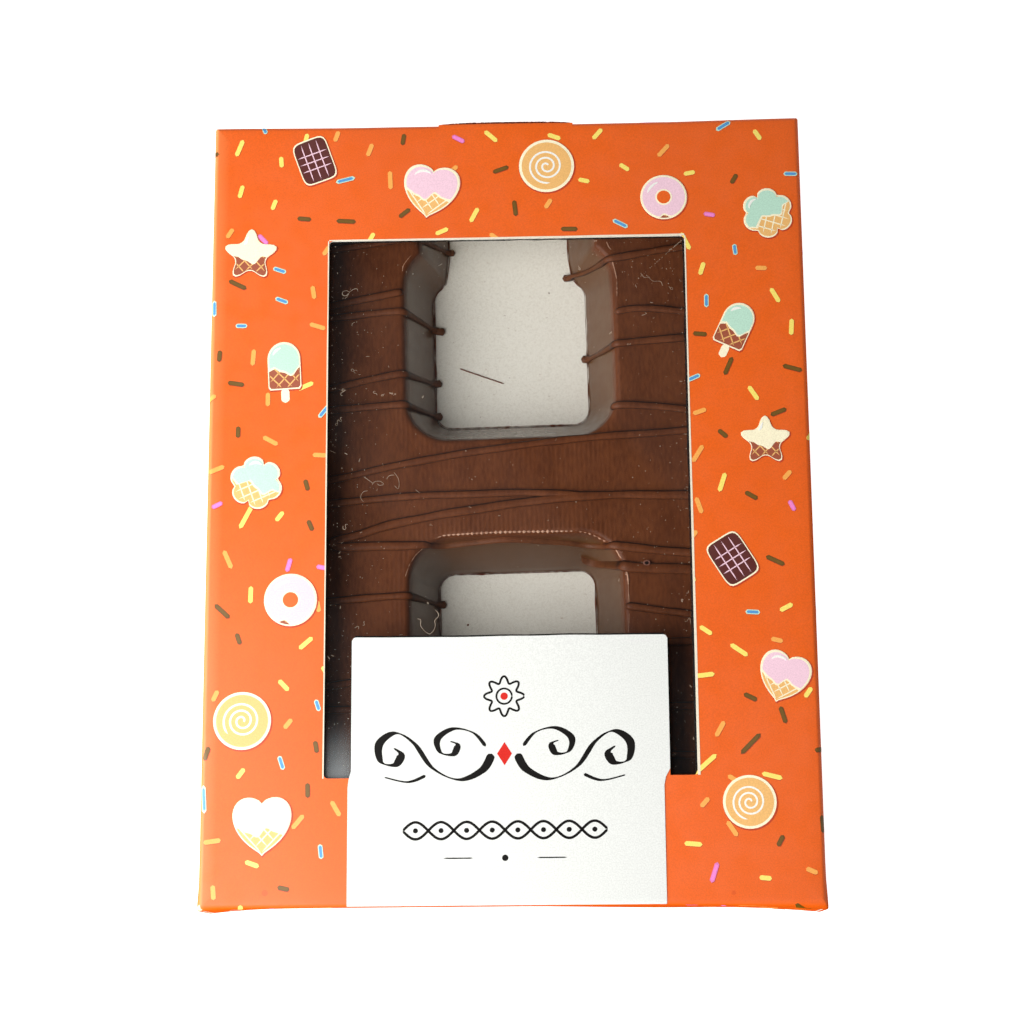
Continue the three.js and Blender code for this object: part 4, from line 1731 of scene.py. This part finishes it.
    def inset_at(self, x: Grid, y: Grid) -> Grid:
        """How far a place lies inside the foot's outline: the least of its distances from the edges.

        Args:
            x: Place across the letter.
            y: Place along the letter.

        Returns:
            The inset, below 0 outside.
        """
        across, along = np.abs(x), np.abs(y)
        floor = np.where(y > 0, self.crossbar_top, self.crossbar_bottom)
        eye, notch_x = floor + self.notch, self.stem_inner - self.notch
        in_serif, leg = along >= self.serif_start, self.half_width - self.serif_reach
        fillet = np.hypot(across - notch_x, along - eye) - self.notch
        low = np.where(across > notch_x, fillet, floor - along)
        arc = np.hypot(across - self.stem_inner + self.bracket, along - self.serif_start) - self.bracket
        serif = np.minimum(across - self.stem_inner + self.serif_reach, arc)
        inner = np.where(in_serif, serif, np.where(along >= eye, across - self.stem_inner, low))
        arc = np.hypot(across - leg - self.bracket, along - self.serif_start) - self.bracket
        outer = np.where(in_serif, np.minimum(self.half_width - across, arc), leg - across)
        return np.minimum(np.minimum(inner, outer), self.half_length - along)

    def profile(self, inset: Grid) -> Grid:
        """Height over the foot: a straight wall, then a quarter circle up to the face.

        Args:
            inset: How far inside the foot's outline.

        Returns:
            The heights.
        """
        wall = np.clip(inset / self.slope_inset, 0, 1) * (self.height - self.edge_round)
        over = np.clip(inset - self.slope_inset, 0, self.edge_round)
        bend = np.sqrt(np.clip(self.edge_round**2 - (self.edge_round - over) ** 2, 0, None))
        return wall + bend

    def ribs(self, x: Grid, y: Grid, inset: Grid) -> Grid:
        """Fine ribs along the face, deepest on the crossbar and near the edges.

        Args:
            x: Place across the letter.
            y: Place along the letter.
            inset: How far inside the foot's outline.

        Returns:
            Their depth.
        """
        wave = 0.5 + 0.5 * np.cos(2 * HALF_TURN * x / self.rib_gap)
        bar = smooth_step(np.abs(x), 22, 14)
        edge = np.exp(-np.clip(inset - self.face_inset, 0, None) / 2.2)
        uneven = 0.5 + 0.5 * waves(x, y * 0.4, 11, 41)
        left = np.where(x < 0, 1.0, 0.45)
        depth = 0.001 + 0.004 * np.clip(uneven, 0, 1.4) + 0.006 * bar + 0.026 * edge * np.maximum(left, bar)
        return wave * depth * smooth_step(inset, self.slope_inset + 0.25, self.face_inset - 0.1)

    def wall_share(self, piece: Piece) -> Grid:
        """Share of wall at each point of a piece: 0 on the letter's face, 1 from 2 mm below it."""
        top = self.base + self.height
        return smooth_step(places(piece)[:, 2] / MM, top - 0.9, top - 2)

    def surface(self, plan: Grid, inset: Grid | float) -> Grid:
        """Raises plan points to the letter's surface, with ribs and a little unevenness.

        Args:
            plan: Places on the letter.
            inset: How far inside the foot's outline.

        Returns:
            Points in the letter's own axes.
        """
        x, y = plan[..., 0], plan[..., 1]
        inset = np.broadcast_to(inset, x.shape)
        swell = 0.04 * waves(x, y, 17, 42) * smooth_step(inset, 1, 4)
        z = self.profile(inset) + swell - self.ribs(x, y, inset)
        return np.concatenate([plan, z[..., None]], -1)


@dataclass
class ChocolateLetter:
    """The moulded letter as one closed skin."""

    form: LetterForm
    finish: Finish

    def walls(self) -> Grid:
        """Rings from below the foot up the straight wall and round the edge to the face.

        Returns:
            Their points, ring by ring.
        """
        form = self.form
        turn = np.linspace(0, QUARTER, 9)[1:]
        insets = [*np.linspace(0, form.slope_inset, 8), *(form.slope_inset + 1 - np.cos(turn))]
        rings = [form.surface(form.ring(float(inset)), float(inset)) for inset in insets]
        rough = 0.06 * waves(rings[0][:, 0], rings[0][:, 1], 4, 43)
        for share, ring in zip((1, 0.6, 0.3), rings):
            middle = np.sign(ring[:, :2]) * [1, 0.3]
            ring[:, :2] += middle * (rough * share)[:, None]
        foot = rings[0] * [1, 1, 0] - [0, 0, form.sunk]
        return np.stack([foot, *rings])

    def face_blocks(self) -> list[Grid]:
        """Blocks of the flat face: both legs, the eight serif parts and the crossbar.

        Returns:
            A grid of places for each block.
        """
        form, inset = self.form, self.form.face_inset
        inner, outer = form.stem_inner + inset, form.half_width - form.serif_reach - inset
        side, rise = form.bracket_columns(inset)
        top = form.half_length - inset
        serif = np.linspace(form.serif_start, top, 13)
        high, low = form.stem_lines(form.crossbar_top), form.stem_lines(form.crossbar_bottom)
        lines = np.concatenate([-serif[::-1], -low[::-1], [0], high, serif])
        leg = joined(np.linspace(inner, outer, 154), lines[:, None])
        blocks = [leg, leg * [-1, 1]]
        wing = rise + np.linspace(0, 1, 13)[:, None] * (top - rise)
        for edge, way in ((inner, -1), (outer, 1)):
            blocks += [joined(edge + way * side, wing) * signs for signs in QUARTERS]
        turn = np.linspace(0, QUARTER, 101)
        notch_x, radius = form.stem_inner - form.notch, form.notch + inset
        x = np.concatenate([np.linspace(0, notch_x, 82)[:-1], notch_x + radius * np.sin(turn)])
        drop = np.concatenate([np.full(81, inset), radius * np.cos(turn) - form.notch])
        x, drop = np.concatenate([-x[::-1], x[1:]]), np.concatenate([drop[::-1], drop[1:]])
        up, down = form.crossbar_top - drop, -form.crossbar_bottom + drop
        eye_high, eye_low = form.crossbar_top + form.notch, form.crossbar_bottom + form.notch
        rows = np.concatenate([np.linspace(-eye_low, 0, 12), np.linspace(0, eye_high, 12)[1:]])
        place = ((rows + eye_low) / (eye_high + eye_low))[:, None]
        return [*blocks, joined(x, down + place * (up - down))]

    def build(self) -> None:
        """Makes the letter."""
        shell = Shell()
        points = self.form.place(self.walls())
        shell.add(points, grid_faces(*points.shape[:2], ring=True))
        shell.add(points[0], np.arange(points.shape[1])[None])
        for block in self.face_blocks():
            inset = np.maximum(self.form.inset_at(block[..., 0], block[..., 1]), self.form.face_inset)
            shell.add(self.form.place(self.form.surface(block, inset)), grid_faces(*block.shape[:2]))
        piece = shell.build("chocolate_h", [self.finish], "milk_chocolate", weld=0.004, closed=True)
        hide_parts("letter")
        wall = self.form.wall_share(piece)
        # the wall share also blends in the olive tint painted as the walls' reflection of the pale board
        # inside
        mark(piece, "wall", wall)
        mark(piece, "gloss", wall * (1 - 0.35 * smooth_step(places(piece)[:, 0] / MM, 4, 13)))


@dataclass(frozen=True)
class Strand:
    """One piped strand: the points of its plan, its width, and whether it lies flat and broad on the
    wall, like a leaf, or tapers down it.
    """

    plan: Plan
    width: float = 1.3
    leaf: float = 0.0


STRANDS = [
    Strand([[-47.6, 52.5], [-9.4, 56]]),
    Strand([[9.4, 55.4], [47.6, 52.6]]),
    Strand([[-47.6, 44.9], [-24.5, 47.5], [-9.4, 49.2]]),
    Strand([[9.4, 43.7], [17.5, 43.5], [30, 45.1], [47.6, 46.6]]),
    Strand([[-45.4, 33.9], [-30.3, 36.6], [-18, 38.95]]),
    Strand([[-45.4, 33.4], [-30.3, 34.5], [-18, 35.3], [-11.5, 34.5]]),
    Strand([[18.1, 33.9], [24.7, 34.2], [45.4, 31.4]]),
    Strand([[12.2, 28.8], [18.4, 28.3], [29.7, 28.9], [45.4, 29.9]]),
    Strand([[-45.4, 19.1], [-24.5, 23.1], [-12.2, 25.3]]),
    Strand([[-45.4, 17.5], [-24, 18.5], [-12.2, 19.2]]),
    Strand([[17, 17.4], [24, 17], [45.4, 13.9]]),
    Strand([[-45.4, 2.9], [-17.8, 8.4], [6.6, 11.4], [23.8, 12.3], [45.4, 13.3]]),
    Strand([[-45.4, 0.4], [-24, 2.4], [-4, 2.8], [6, 2.4], [14, 1.6]]),
    Strand(
        [[45.4, 0.4], [28.9, 1.4], [8, 1.6], [-16, -1.2], [-26, -3.5], [-29.6, -4.3], [-30.8, -4.9],
         [-29.7, -5.5], [-26, -5.6], [-16, -5.7], [-2, -4.8], [10, -5.6], [16.7, -6.9], [22.5, -7.7],
         [29, -8.5], [45.4, -10.4]], 1.5,
    ),
    Strand(
        [[11, -7.1], [12.9, -8], [15.5, -9.1], [17.8, -10.2], [19.6, -10.6], [29, -11.3], [45.4, -12.5]],
        1.85, 1,
    ),
    Strand([[-45.4, -15.6], [-24, -14.4], [-12.2, -14.1]]),
    Strand([[18, -17.1], [28.7, -18.8], [45.4, -21.2]]),
    Strand([[-45.4, -31.2], [-12.2, -26.2]]),
    Strand([[12.2, -23.1], [28, -23.4], [45.4, -22.6]]),
    Strand([[-45.4, -32.7], [-12.2, -33.4]]),
    Strand([[12.2, -33.6], [45.4, -34.6]]),
    Strand([[-47.6, -46.6], [-12.2, -42.6]]),
    Strand([[12.2, -42], [28, -42.2], [47.6, -44.8]]),
    Strand([[-47.6, -50.2], [-9.4, -53.2]]),
    Strand([[9.4, -53.8], [47.6, -56]]),
]


@dataclass
class Drizzle:
    """Piped strands of the same chocolate over the letter's face and down its walls."""

    form: LetterForm
    finish: Finish
    rise: float = 0.46
    sink: float = 0.5
    foot_share: float = 0.6
    step: float = 0.34

    def section(self, width: float) -> Grid:
        """Rather more than half a round bead, so that it overhangs a little on each side, and a sunk root."""
        angle = np.linspace(-0.8, HALF_TURN + 0.8, 17)
        bead = joined(width / 2 * np.cos(angle), 0.22 + self.rise * np.sin(angle))
        return np.concatenate([bead, [[-0.36 * width, -self.sink], [0.36 * width, -self.sink]]])

    def path(self, strand: Strand, number: int) -> Grid:
        """Runs a strand over the letter's surface, rounding its edges a little.

        Args:
            strand: The strand.
            number: Its number, which seeds its wobble.

        Returns:
            Points, evenly spaced in space.
        """
        plan = curve_through(strand.plan, 0.12)
        plan[:, 1] += 0.05 * ripple(plan[:, 0], 13, 60 + number)
        height = self.form.profile(self.form.inset_at(plan[:, 0], plan[:, 1]))
        kernel = np.hanning(11)
        smooth = np.convolve(np.pad(height, 5, "edge"), kernel / kernel.sum(), "valid")
        return evenly(np.column_stack([plan, np.maximum(smooth, height - 0.05)]), self.step)

    def size(self, strand: Strand, path: Grid, number: int) -> Grid:
        """Share of the section's width and height along a strand.

        Args:
            strand: The strand.
            path: Its middle line.
            number: Its number, which seeds its ripple.

        Returns:
            Both shares at each point: less down the wall, a small knob at the foot, and round ends.
        """
        run = self.step * np.arange(len(path))
        inset = self.form.inset_at(path[:, 0], path[:, 1])
        high = smooth_step(inset, 0.5, self.form.face_inset)
        knob = 0.4 * smooth_step(inset, 0.7, 0.1)
        leaf, piped = strand.leaf, 1 - strand.leaf
        wide = leaf * (1.2 - 0.2 * high) + piped * (self.foot_share + (1 - self.foot_share) * high)
        tall = leaf * (0.3 + 0.7 * high) + piped * (0.6 + 0.4 * high)
        start, stop = (0.1 + 1.3 * max(leaf, high[place]) for place in (0, -1))
        along = round_ends(len(path), run[-1], start, stop) * (1 + 0.06 * ripple(run, 7, 90 + number))
        return along[:, None] * joined(wide + knob, tall + knob)

    def build(self) -> None:
        """Makes all strands."""
        shell = Shell()
        for number, strand in enumerate(STRANDS):
            path = self.path(strand, number)
            points, faces = tube(path, self.section(strand.width), self.size(strand, path, number))
            shell.add(self.form.place(points), faces)
        piece = shell.build("drizzle", [self.finish], "milk_chocolate", weld=0.003, closed=True)
        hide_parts("letter")
        along, up = places(piece, "normal").T[1:]
        wall = self.form.wall_share(piece)
        # painted shade: the strands' sides darken, most on the side away from the lamp, half as much down the
        # walls
        mark(piece, "painted_crease_shade", smooth_step(0.9 * np.maximum(along, 0) - up, -0.62, -0.1) * (1 - 0.5 * wall))
        # painted reflection: the walls' olive tint, at a third of its share, on strands that run down the
        # walls
        mark(piece, "wall", 0.3 * wall)


@dataclass(frozen=True)
class PaintedEdgeHighlight:
    """One pale line on the letter, painted as the highlight of its rounded rim: its thickness, how dotted it
    is and the points of its plan.
    """

    radius: float
    dotted: float
    plan: Plan


# Pale lines painted as the highlight of the letter's rounded rims, dotted where the ribs end.
PAINTED_EDGE_HIGHLIGHTS = [
    PaintedEdgeHighlight(
        0.11, 0.97,
        [[-13.4, -4.6], [-12.5, -4.3], [-11.5, -4.1], [-8.7, -4], [-2.5, -3.9], [4.3, -4], [10.6, -4.05]],
    ),
    PaintedEdgeHighlight(0.12, 0.9, [[10.6, -4.05], [12.9, -4.65], [14.8, -5.7], [15.7, -6.1]]),
    PaintedEdgeHighlight(0.14, 0.0, [[16.6, -7.3], [17, -7.7], [17.4, -8.5], [17.7, -9]]),
    PaintedEdgeHighlight(0.15, 0.0, [[18.4, -11.2], [18.6, -11.8], [18.7, -12.6], [18.7, -13.6]]),
    PaintedEdgeHighlight(0.04, 0.0, [[18.7, -13.6], [18.7, -17]]),
    PaintedEdgeHighlight(0.06, 0.7, [[18.7, -18.4], [18.4, -21.6]]),
    PaintedEdgeHighlight(0.1, 0.5, [[-14.9, -5.8], [-15.4, -6.1], [-16.7, -7.3], [-17.5, -8.5]]),
    PaintedEdgeHighlight(0.06, 0.3, [[-17.5, -8.5], [-17.8, -9], [-18.5, -11]]),
    PaintedEdgeHighlight(0.06, 0.3, [[-16.5, 45.4], [-16.9, 45], [-17.9, 43.6], [-18.1, 42.5]]),
    PaintedEdgeHighlight(0.08, 0.0, [[17.2, 46.6], [17.6, 45.6], [18, 45.1]]),
    PaintedEdgeHighlight(0.08, 0.0, [[18.1, 43], [18.5, 41.2], [18.75, 39.7]]),
    PaintedEdgeHighlight(0.05, 0.4, [[18.75, 39.7], [18.65, 36.6]]),
]


@dataclass
class EdgeHighlightsAndBubble:
    """Pale lines along the letter's upper edges, painted as the highlight of its rounded rims, and a burst
    bubble on one strand.
    """

    form: LetterForm
    bubble: Place = (21.9, -10.05, 11.12)
    shell: Shell = field(default_factory=Shell)

    def painted_highlights(self) -> None:
        """Adds the pale lines of painted highlight, thickest where the ribs stand, as low ridges on the
        surface.
        """
        section = circle(8) * [1, 0.6]
        for number, painted_line in enumerate(PAINTED_EDGE_HIGHLIGHTS):
            x, y = curve_through(painted_line.plan, 0.1).T
            path = joined(x, y, self.form.profile(self.form.inset_at(x, y)) + 0.01)
            across = x + y * (painted_line.dotted < 0.7)
            rib = 0.5 - 0.5 * np.cos(2 * HALF_TURN * across / self.form.rib_gap)
            tooth = (1 - painted_line.dotted * rib**0.7) * (1 + 0.25 * waves(x, y, 0.7, 50 + number))
            size = painted_line.radius * tooth * round_ends(len(path), 1, 0.2)
            tall = 1 + 1.5 * smooth_step(np.array(painted_line.dotted), 0.8, 0.95)
            points, faces = tube(path, section, size[:, None] * [tall, 1])
            self.shell.add(self.form.place(points), faces)

    def ring(self) -> None:
        """Adds the bubble: a raised ring, a circle swept round a circle, with a dark disc in it as painted
        shade of its hollow.
        """
        around, across = np.meshgrid(full_turn(28), full_turn(8), indexing="ij")
        reach = 0.42 + 0.12 * np.cos(across)
        rim = joined(reach * np.cos(around) * 1.1, reach * np.sin(around) * 0.9, 0.12 * np.sin(across))
        rim = rim.reshape(-1, 3) + self.bubble
        faces = grid_faces(28, 8, ring=True, endless=True)
        self.shell.add(self.form.place(rim), outward(rim, faces), finish=1)
        share = np.array([0, 0.5, 1, 1, 0])[:, None]
        height = np.array([0.03, 0.03, 0.03, -0.1, -0.1])[:, None]
        x, y = aim(full_turn(16)).T
        pit = joined(0.36 * share * x, 0.28 * share * y, height).reshape(-1, 3)
        faces = outward(pit, grid_faces(5, 16, ring=True))
        self.shell.add(self.form.place(pit + self.bubble), faces, finish=2)

    def build(self) -> None:
        """Makes them in three finishes: a pale one painted as highlight, thin chocolate, and a dark one
        painted as the bubble's shade.
        """
        # painted highlight: pale chocolate for the rim lines
        rubbed_and_painted_highlight = Chocolate("painted_highlight_chocolate", shade(168, 122, 98), shade(206, 164, 138), 0.5).build()
        thin = Chocolate("bubble_rim", shade(120, 78, 66), shade(140, 98, 84), 0.4).build()
        # painted shade: near-black chocolate for the disc that stands in for the shadow in the bubble's
        # hollow
        dark = Chocolate("bubble_painted_shade", shade(24, 12, 8), shade(32, 16, 10), 0.5).build()
        self.painted_highlights()
        self.ring()
        self.shell.build("edge_painted_highlights", [rubbed_and_painted_highlight, thin, dark], "milk_chocolate", weld=0.001, closed=True)


@dataclass
class LooseBits:
    """What has come off the letter: a broken lip along its foot, a thread and some crumbs."""

    form: LetterForm
    finish: Finish

    shell: Shell = field(default_factory=Shell)
    back_inside: float = 0.45
    large: Plan = ((6.94, 41.29, 0.13), (-7.58, -17.9, 0.2))
    loose_thread: Plan = ((-8.9, 27.7, 0.57), (-7.1, 27, 0.6), (-3.6, 25.7, 0.58), (-1.1, 24.8, 0.57))

    def lip(self) -> None:
        """Makes the thin lip: a small round section along the foot's outline that comes and goes."""
        plan = self.form.ring(-0.12)
        x, y = plan[np.append(True, np.linalg.norm(np.diff(plan, axis=0), axis=1) > 0.02)].T
        size = 0.06 + 0.07 * np.clip(waves(x, y, 5, 71) - 0.3, 0, 1)
        size = size * (0.85 + 0.3 * waves(x, y, 1.1, 72))
        points, faces = tube(joined(x, y, -0.02), circle(6), np.maximum(size, 0.005))
        shell = Shell()
        shell.add(self.form.place(points), faces)
        shell.build("foot_lip", [self.finish], "milk_chocolate", weld=0.002, closed=True)

    def crumbs(self) -> None:
        """Adds the crumbs: small uneven balls scattered over the back's inside."""
        draw = np.random.default_rng(73)
        ball = globe(7, 8)
        small = [(x, y, 0.07) for x, y in draw.uniform((-9.5, 18), (9.5, 44), (9, 2))]
        for x, y, size in [*self.large, *small]:
            rough = 1 + 0.25 * waves(ball[..., 0] * 9 + x, ball[..., 1] * 9 + y, 9, 74)
            uneven = ball * (size * rough)[..., None] * [1, 1, 0.7]
            points = (uneven + [x, y, self.back_inside + size * 0.62]).reshape(-1, 3)
            self.shell.add(points, outward(points, grid_faces(7, 8, ring=True)))

    def thread(self) -> None:
        """Adds the loose thread that lies in the upper gap."""
        path = curve_through(self.loose_thread, 0.25)
        self.shell.add(*tube(path, circle(8, 0.1), round_ends(len(path), 7.6, 0.3)))

    def build(self) -> None:
        """Makes them."""
        self.lip()
        self.crumbs()
        self.thread()
        self.shell.build("loose_crumbs", [self.finish], "milk_chocolate", weld=0.002, closed=True)


@dataclass
class Dust:
    """Textile fibres and specks that cling to the film."""

    film: WindowFilm
    shell: Shell = field(default_factory=Shell)
    fibre: float = 0.038
    half: Spot = (29.6, 44.8)
    count: int = 700
    drawn: tuple[Plan, ...] = (
        ((-12.2, -18), (-11.7, -18.5), (-11.6, -19.1), (-12.2, -19.9), (-12.1, -20.6), (-12.4, -21.5),
         (-13.1, -22), (-13.9, -21.5), (-14.5, -20.6), (-14.5, -19.7), (-15.1, -19.5)),
        ((-25.2, 36.7), (-25.4, 37.2), (-26, 37.1), (-26.6, 36.7), (-27.2, 36.9), (-27.8, 36.7),
         (-27.8, 36.2), (-27.3, 36), (-26.8, 36.4), (-26.6, 36.7), (-27.1, 35.8), (-27.5, 35.4)),
        ((-23.3, 2.1), (-24.1, 1.9), (-24.5, 1.1), (-24.2, 0.4), (-23.9, 0.3)),
        ((-22.6, 3.1), (-22.2, 3.6), (-21.3, 3.7), (-20.7, 3.2), (-21.3, 3), (-21.8, 3.3)),
        ((-19, 5.2), (-18.3, 4.2), (-18.1, 3.1), (-18.3, 2.4), (-18.9, 2.9)),
        ((22.6, 39.2), (23.2, 38.4), (24, 38.3), (24.7, 37.7), (25.9, 37.6), (26.3, 36.8)),
        ((-20.2, 4), (-19.9, 4.5), (-19.5, 4.7), (-18.9, 4.7)), ((-26.2, 30.6), (-26.1, 31.1), (-25.6, 31.3)),
        ((28.9, -20.6), (29.4, -19.9), (29.6, -20.9)), ((-24, 4.5), (-22.5, 3.4)),
        ((-15.4, 2.2), (-14.7, 1.6)),
        ((-29.7, 9.1), (-28.7, 8.6)), ((-11.6, 41), (-10.9, 41.4)), ((23.5, 38.8), (24.2, 38.3)),
    )
    curls: Plan = (
        (-25.8, 22.8, 1.3), (-27.6, 19.2, 1.5), (-22.2, 18.9, 0.7), (-20.9, 18.5, 0.7), (-19.5, 18.8, 0.7),
        (-18.9, 18.6, 0.5), (-28.5, 13.8, 1.1), (-27.9, 14.4, 0.6), (-14.2, 18.1, 0.5), (-27.1, -4.0, 1.0),
        (-13.3, -16.9, 0.4), (27.7, 36.4, 0.8), (20.4, 26.7, 0.5), (17.4, 28.7, 0.6), (-24.9, -20.8, 0.6),
        (-23.8, -20.2, 0.5), (28.3, -17.0, 0.7), (8.6, -19.7, 0.5), (15.1, 45.0, 0.6), (12.3, 40.2, 0.7),
    )

    def curl(self, number: int, x: float, y: float, size: float) -> Grid:
        """Plan of a small curl: a line whose heading swings as a seeded sine wave.

        Args:
            number: Its seed.
            x: Its middle across the film.
            y: Its middle along the film.
            size: Half its length.

        Returns:
            Points in plan.
        """
        share = np.linspace(0, 1, 30)
        draw = np.random.default_rng(200 + number)
        swing = draw.uniform(1.2, 3.2) * np.sin(share * draw.uniform(3, 7) + draw.uniform(0, 6))
        heading = draw.uniform(0, 2 * HALF_TURN) + swing
        plan = np.cumsum(aim(heading), 0) * size * 2 / 29
        return plan - plan.mean(0) + [x, y]

    def fibres(self) -> None:
        """Adds the fibres: the larger ones through listed points, the small ones as curls."""
        plans = [curve_through(points, 0.12) for points in self.drawn]
        plans += [self.curl(number, *curl) for number, curl in enumerate(self.curls)]
        for number, plan in enumerate(plans):
            x, y = plan.T
            lift = 0.05 + 0.03 * np.sin(np.linspace(0, 9, len(plan)))
            path = np.column_stack([plan, self.film.height(x, y) + lift])
            radius = self.fibre * (1, 0.8, 0.7)[number % 3]
            self.shell.add(*tube(path, circle(6, radius), round_ends(len(plan), 3, 0.2)))

    def specks(self) -> None:
        """Adds the specks: squashed balls, every ninth drawn out, more near the upper and side edges."""
        draw = np.random.default_rng(82)
        ball = globe(5, 6)
        across, along = self.half
        spots = draw.uniform(-1, 1, (self.count, 2)) * self.half
        lean = draw.uniform(0, 1, self.count) ** 2
        spots[::4, 0] = across - 9 * lean[::4]
        spots[1::4, 0] = 9 * lean[1::4] - across
        spots[2::6, 1] = along - 8 * lean[2::6]
        for number, (x, y) in enumerate(spots):
            size = draw.uniform(0.03, 0.08) * draw.uniform(0.7, 1.3, 3)
            size[:2] *= (4.5, 0.6) if number % 9 == 0 else (1, 1)
            turn = draw.uniform(0, HALF_TURN)
            height = self.film.height(np.array(x), np.array(y)) + size[2]
            flat_x, flat_y, flat_z = np.moveaxis(ball * size, -1, 0)
            c, s = math.cos(turn), math.sin(turn)
            points = joined(flat_x * c - flat_y * s + x, flat_x * s + flat_y * c + y, flat_z + height)
            points = points.reshape(-1, 3)
            self.shell.add(points, outward(points, grid_faces(5, 6, ring=True)))

    def build(self) -> None:
        """Makes the fibres and the specks."""
        self.fibres()
        self.specks()
        self.shell.build("film_dust", [Lint().build()], "clear_film", weld=0.001, closed=True)


@dataclass
class Studio:
    """Camera, floor and light: one soft source near the lower left and a pale horizon."""

    camera_place: Place = (0.0108, -0.0791, 0.3723)
    tilt: Place = (-0.214, -0.0304, 0.0075)
    focal_pixels: float = 2200
    frame_pixels: float = 1024
    sensor: float = 36
    key_place: Place = (-0.19, -0.098, 0.18)
    key_size: float = 0.33
    key_power: float = 1.72
    key_colour: Colour = (1.0, 0.985, 0.96)
    sky_colour: Colour = (0.97, 0.99, 1.0)
    floor_half: float = 1.5
    floor_drop: float = 0.0002

    def camera(self) -> None:
        """Sets the camera at the photograph's place, with its measured tilts and focal length."""
        data = bpy.data.cameras.new("camera")
        data.sensor_width = self.sensor
        data.lens = self.sensor * self.focal_pixels / self.frame_pixels
        data.clip_start = 0.01
        turn = Matrix.Identity(3)
        for angle, axis in zip(self.tilt, "XYZ"):
            turn = turn @ Matrix.Rotation(angle, 3, axis)
        camera = bpy.data.objects.new("camera", data)
        camera.matrix_world = Matrix.Translation(self.camera_place) @ turn.transposed().to_4x4()
        bpy.context.scene.collection.objects.link(camera)
        bpy.context.scene.camera = camera

    def light(self) -> None:
        """Adds the round key light that faces the pack, and a sky that pales towards the horizon."""
        data = bpy.data.lights.new("key", "AREA")
        data.shape = "DISK"
        data.size = self.key_size
        data.energy = self.key_power
        data.color = self.key_colour
        lamp = bpy.data.objects.new("key", data)
        place = Matrix.Translation(self.key_place).translation
        lamp.location = place
        lamp.rotation_euler = (-place).to_track_quat("-Z", "Y").to_euler()
        bpy.context.scene.collection.objects.link(lamp)
        world = bpy.data.worlds.new("sky")
        bpy.context.scene.world = world
        world.use_nodes = True
        nodes, links = world.node_tree.nodes, world.node_tree.links
        heading = nodes.new("ShaderNodeTexCoord").outputs["Generated"]
        split = nodes.new("ShaderNodeSeparateXYZ")
        links.new(heading, split.inputs[0])
        ramp = nodes.new("ShaderNodeMapRange")
        links.new(split.outputs["Z"], ramp.inputs["Value"])
        ramp.interpolation_type = "SMOOTHSTEP"
        for name, value in {"From Min": 0.45, "From Max": 0.985, "To Min": 0.36, "To Max": 0.03}.items():
            ramp.inputs[name].default_value = value
        nodes["Background"].inputs["Color"].default_value = (*self.sky_colour, 1.0)
        links.new(ramp.outputs[0], nodes["Background"].inputs["Strength"])

    def floor(self) -> None:
        """Adds the floor, a plain square with its top just under the pack."""
        mesh = bpy.data.meshes.new("floor")
        signs = [(-1, -1), (1, -1), (1, 1), (-1, 1)]
        square = [(x * self.floor_half, y * self.floor_half, -self.floor_drop) for x, y in signs]
        mesh.from_pydata(square, [], [(0, 1, 2, 3)])
        mesh.materials.append(PaleFloor().build())
        floor = bpy.data.objects.new("floor", mesh)
        bpy.context.scene.collection.objects.link(floor)

    def build(self) -> None:
        """Makes the studio."""
        self.camera()
        self.light()
        self.floor()
        bpy.context.scene.view_settings.view_transform = "Standard"


def main() -> None:
    """Builds every piece in order, from the board inwards to the dust, then the studio."""
    logging.basicConfig(level=logging.INFO, format="%(message)s")
    carton = Carton()
    carton.build()
    Artwork(carton).build()
    Label(carton).build()
    form = LetterForm()
    milk = Chocolate("milk_chocolate", shade(87, 44, 20), shade(105, 57, 29)).build()
    ChocolateLetter(form, milk).build()
    Drizzle(form, milk).build()
    EdgeHighlightsAndBubble(form).build()
    thin = Chocolate("thin_chocolate", shade(88, 40, 24), shade(124, 68, 48), 0.55).build()
    LooseBits(form, thin).build()
    film = WindowFilm(carton)
    film.build()
    Dust(film).build()
    Studio().build()


if __name__ == "__main__":
    main()
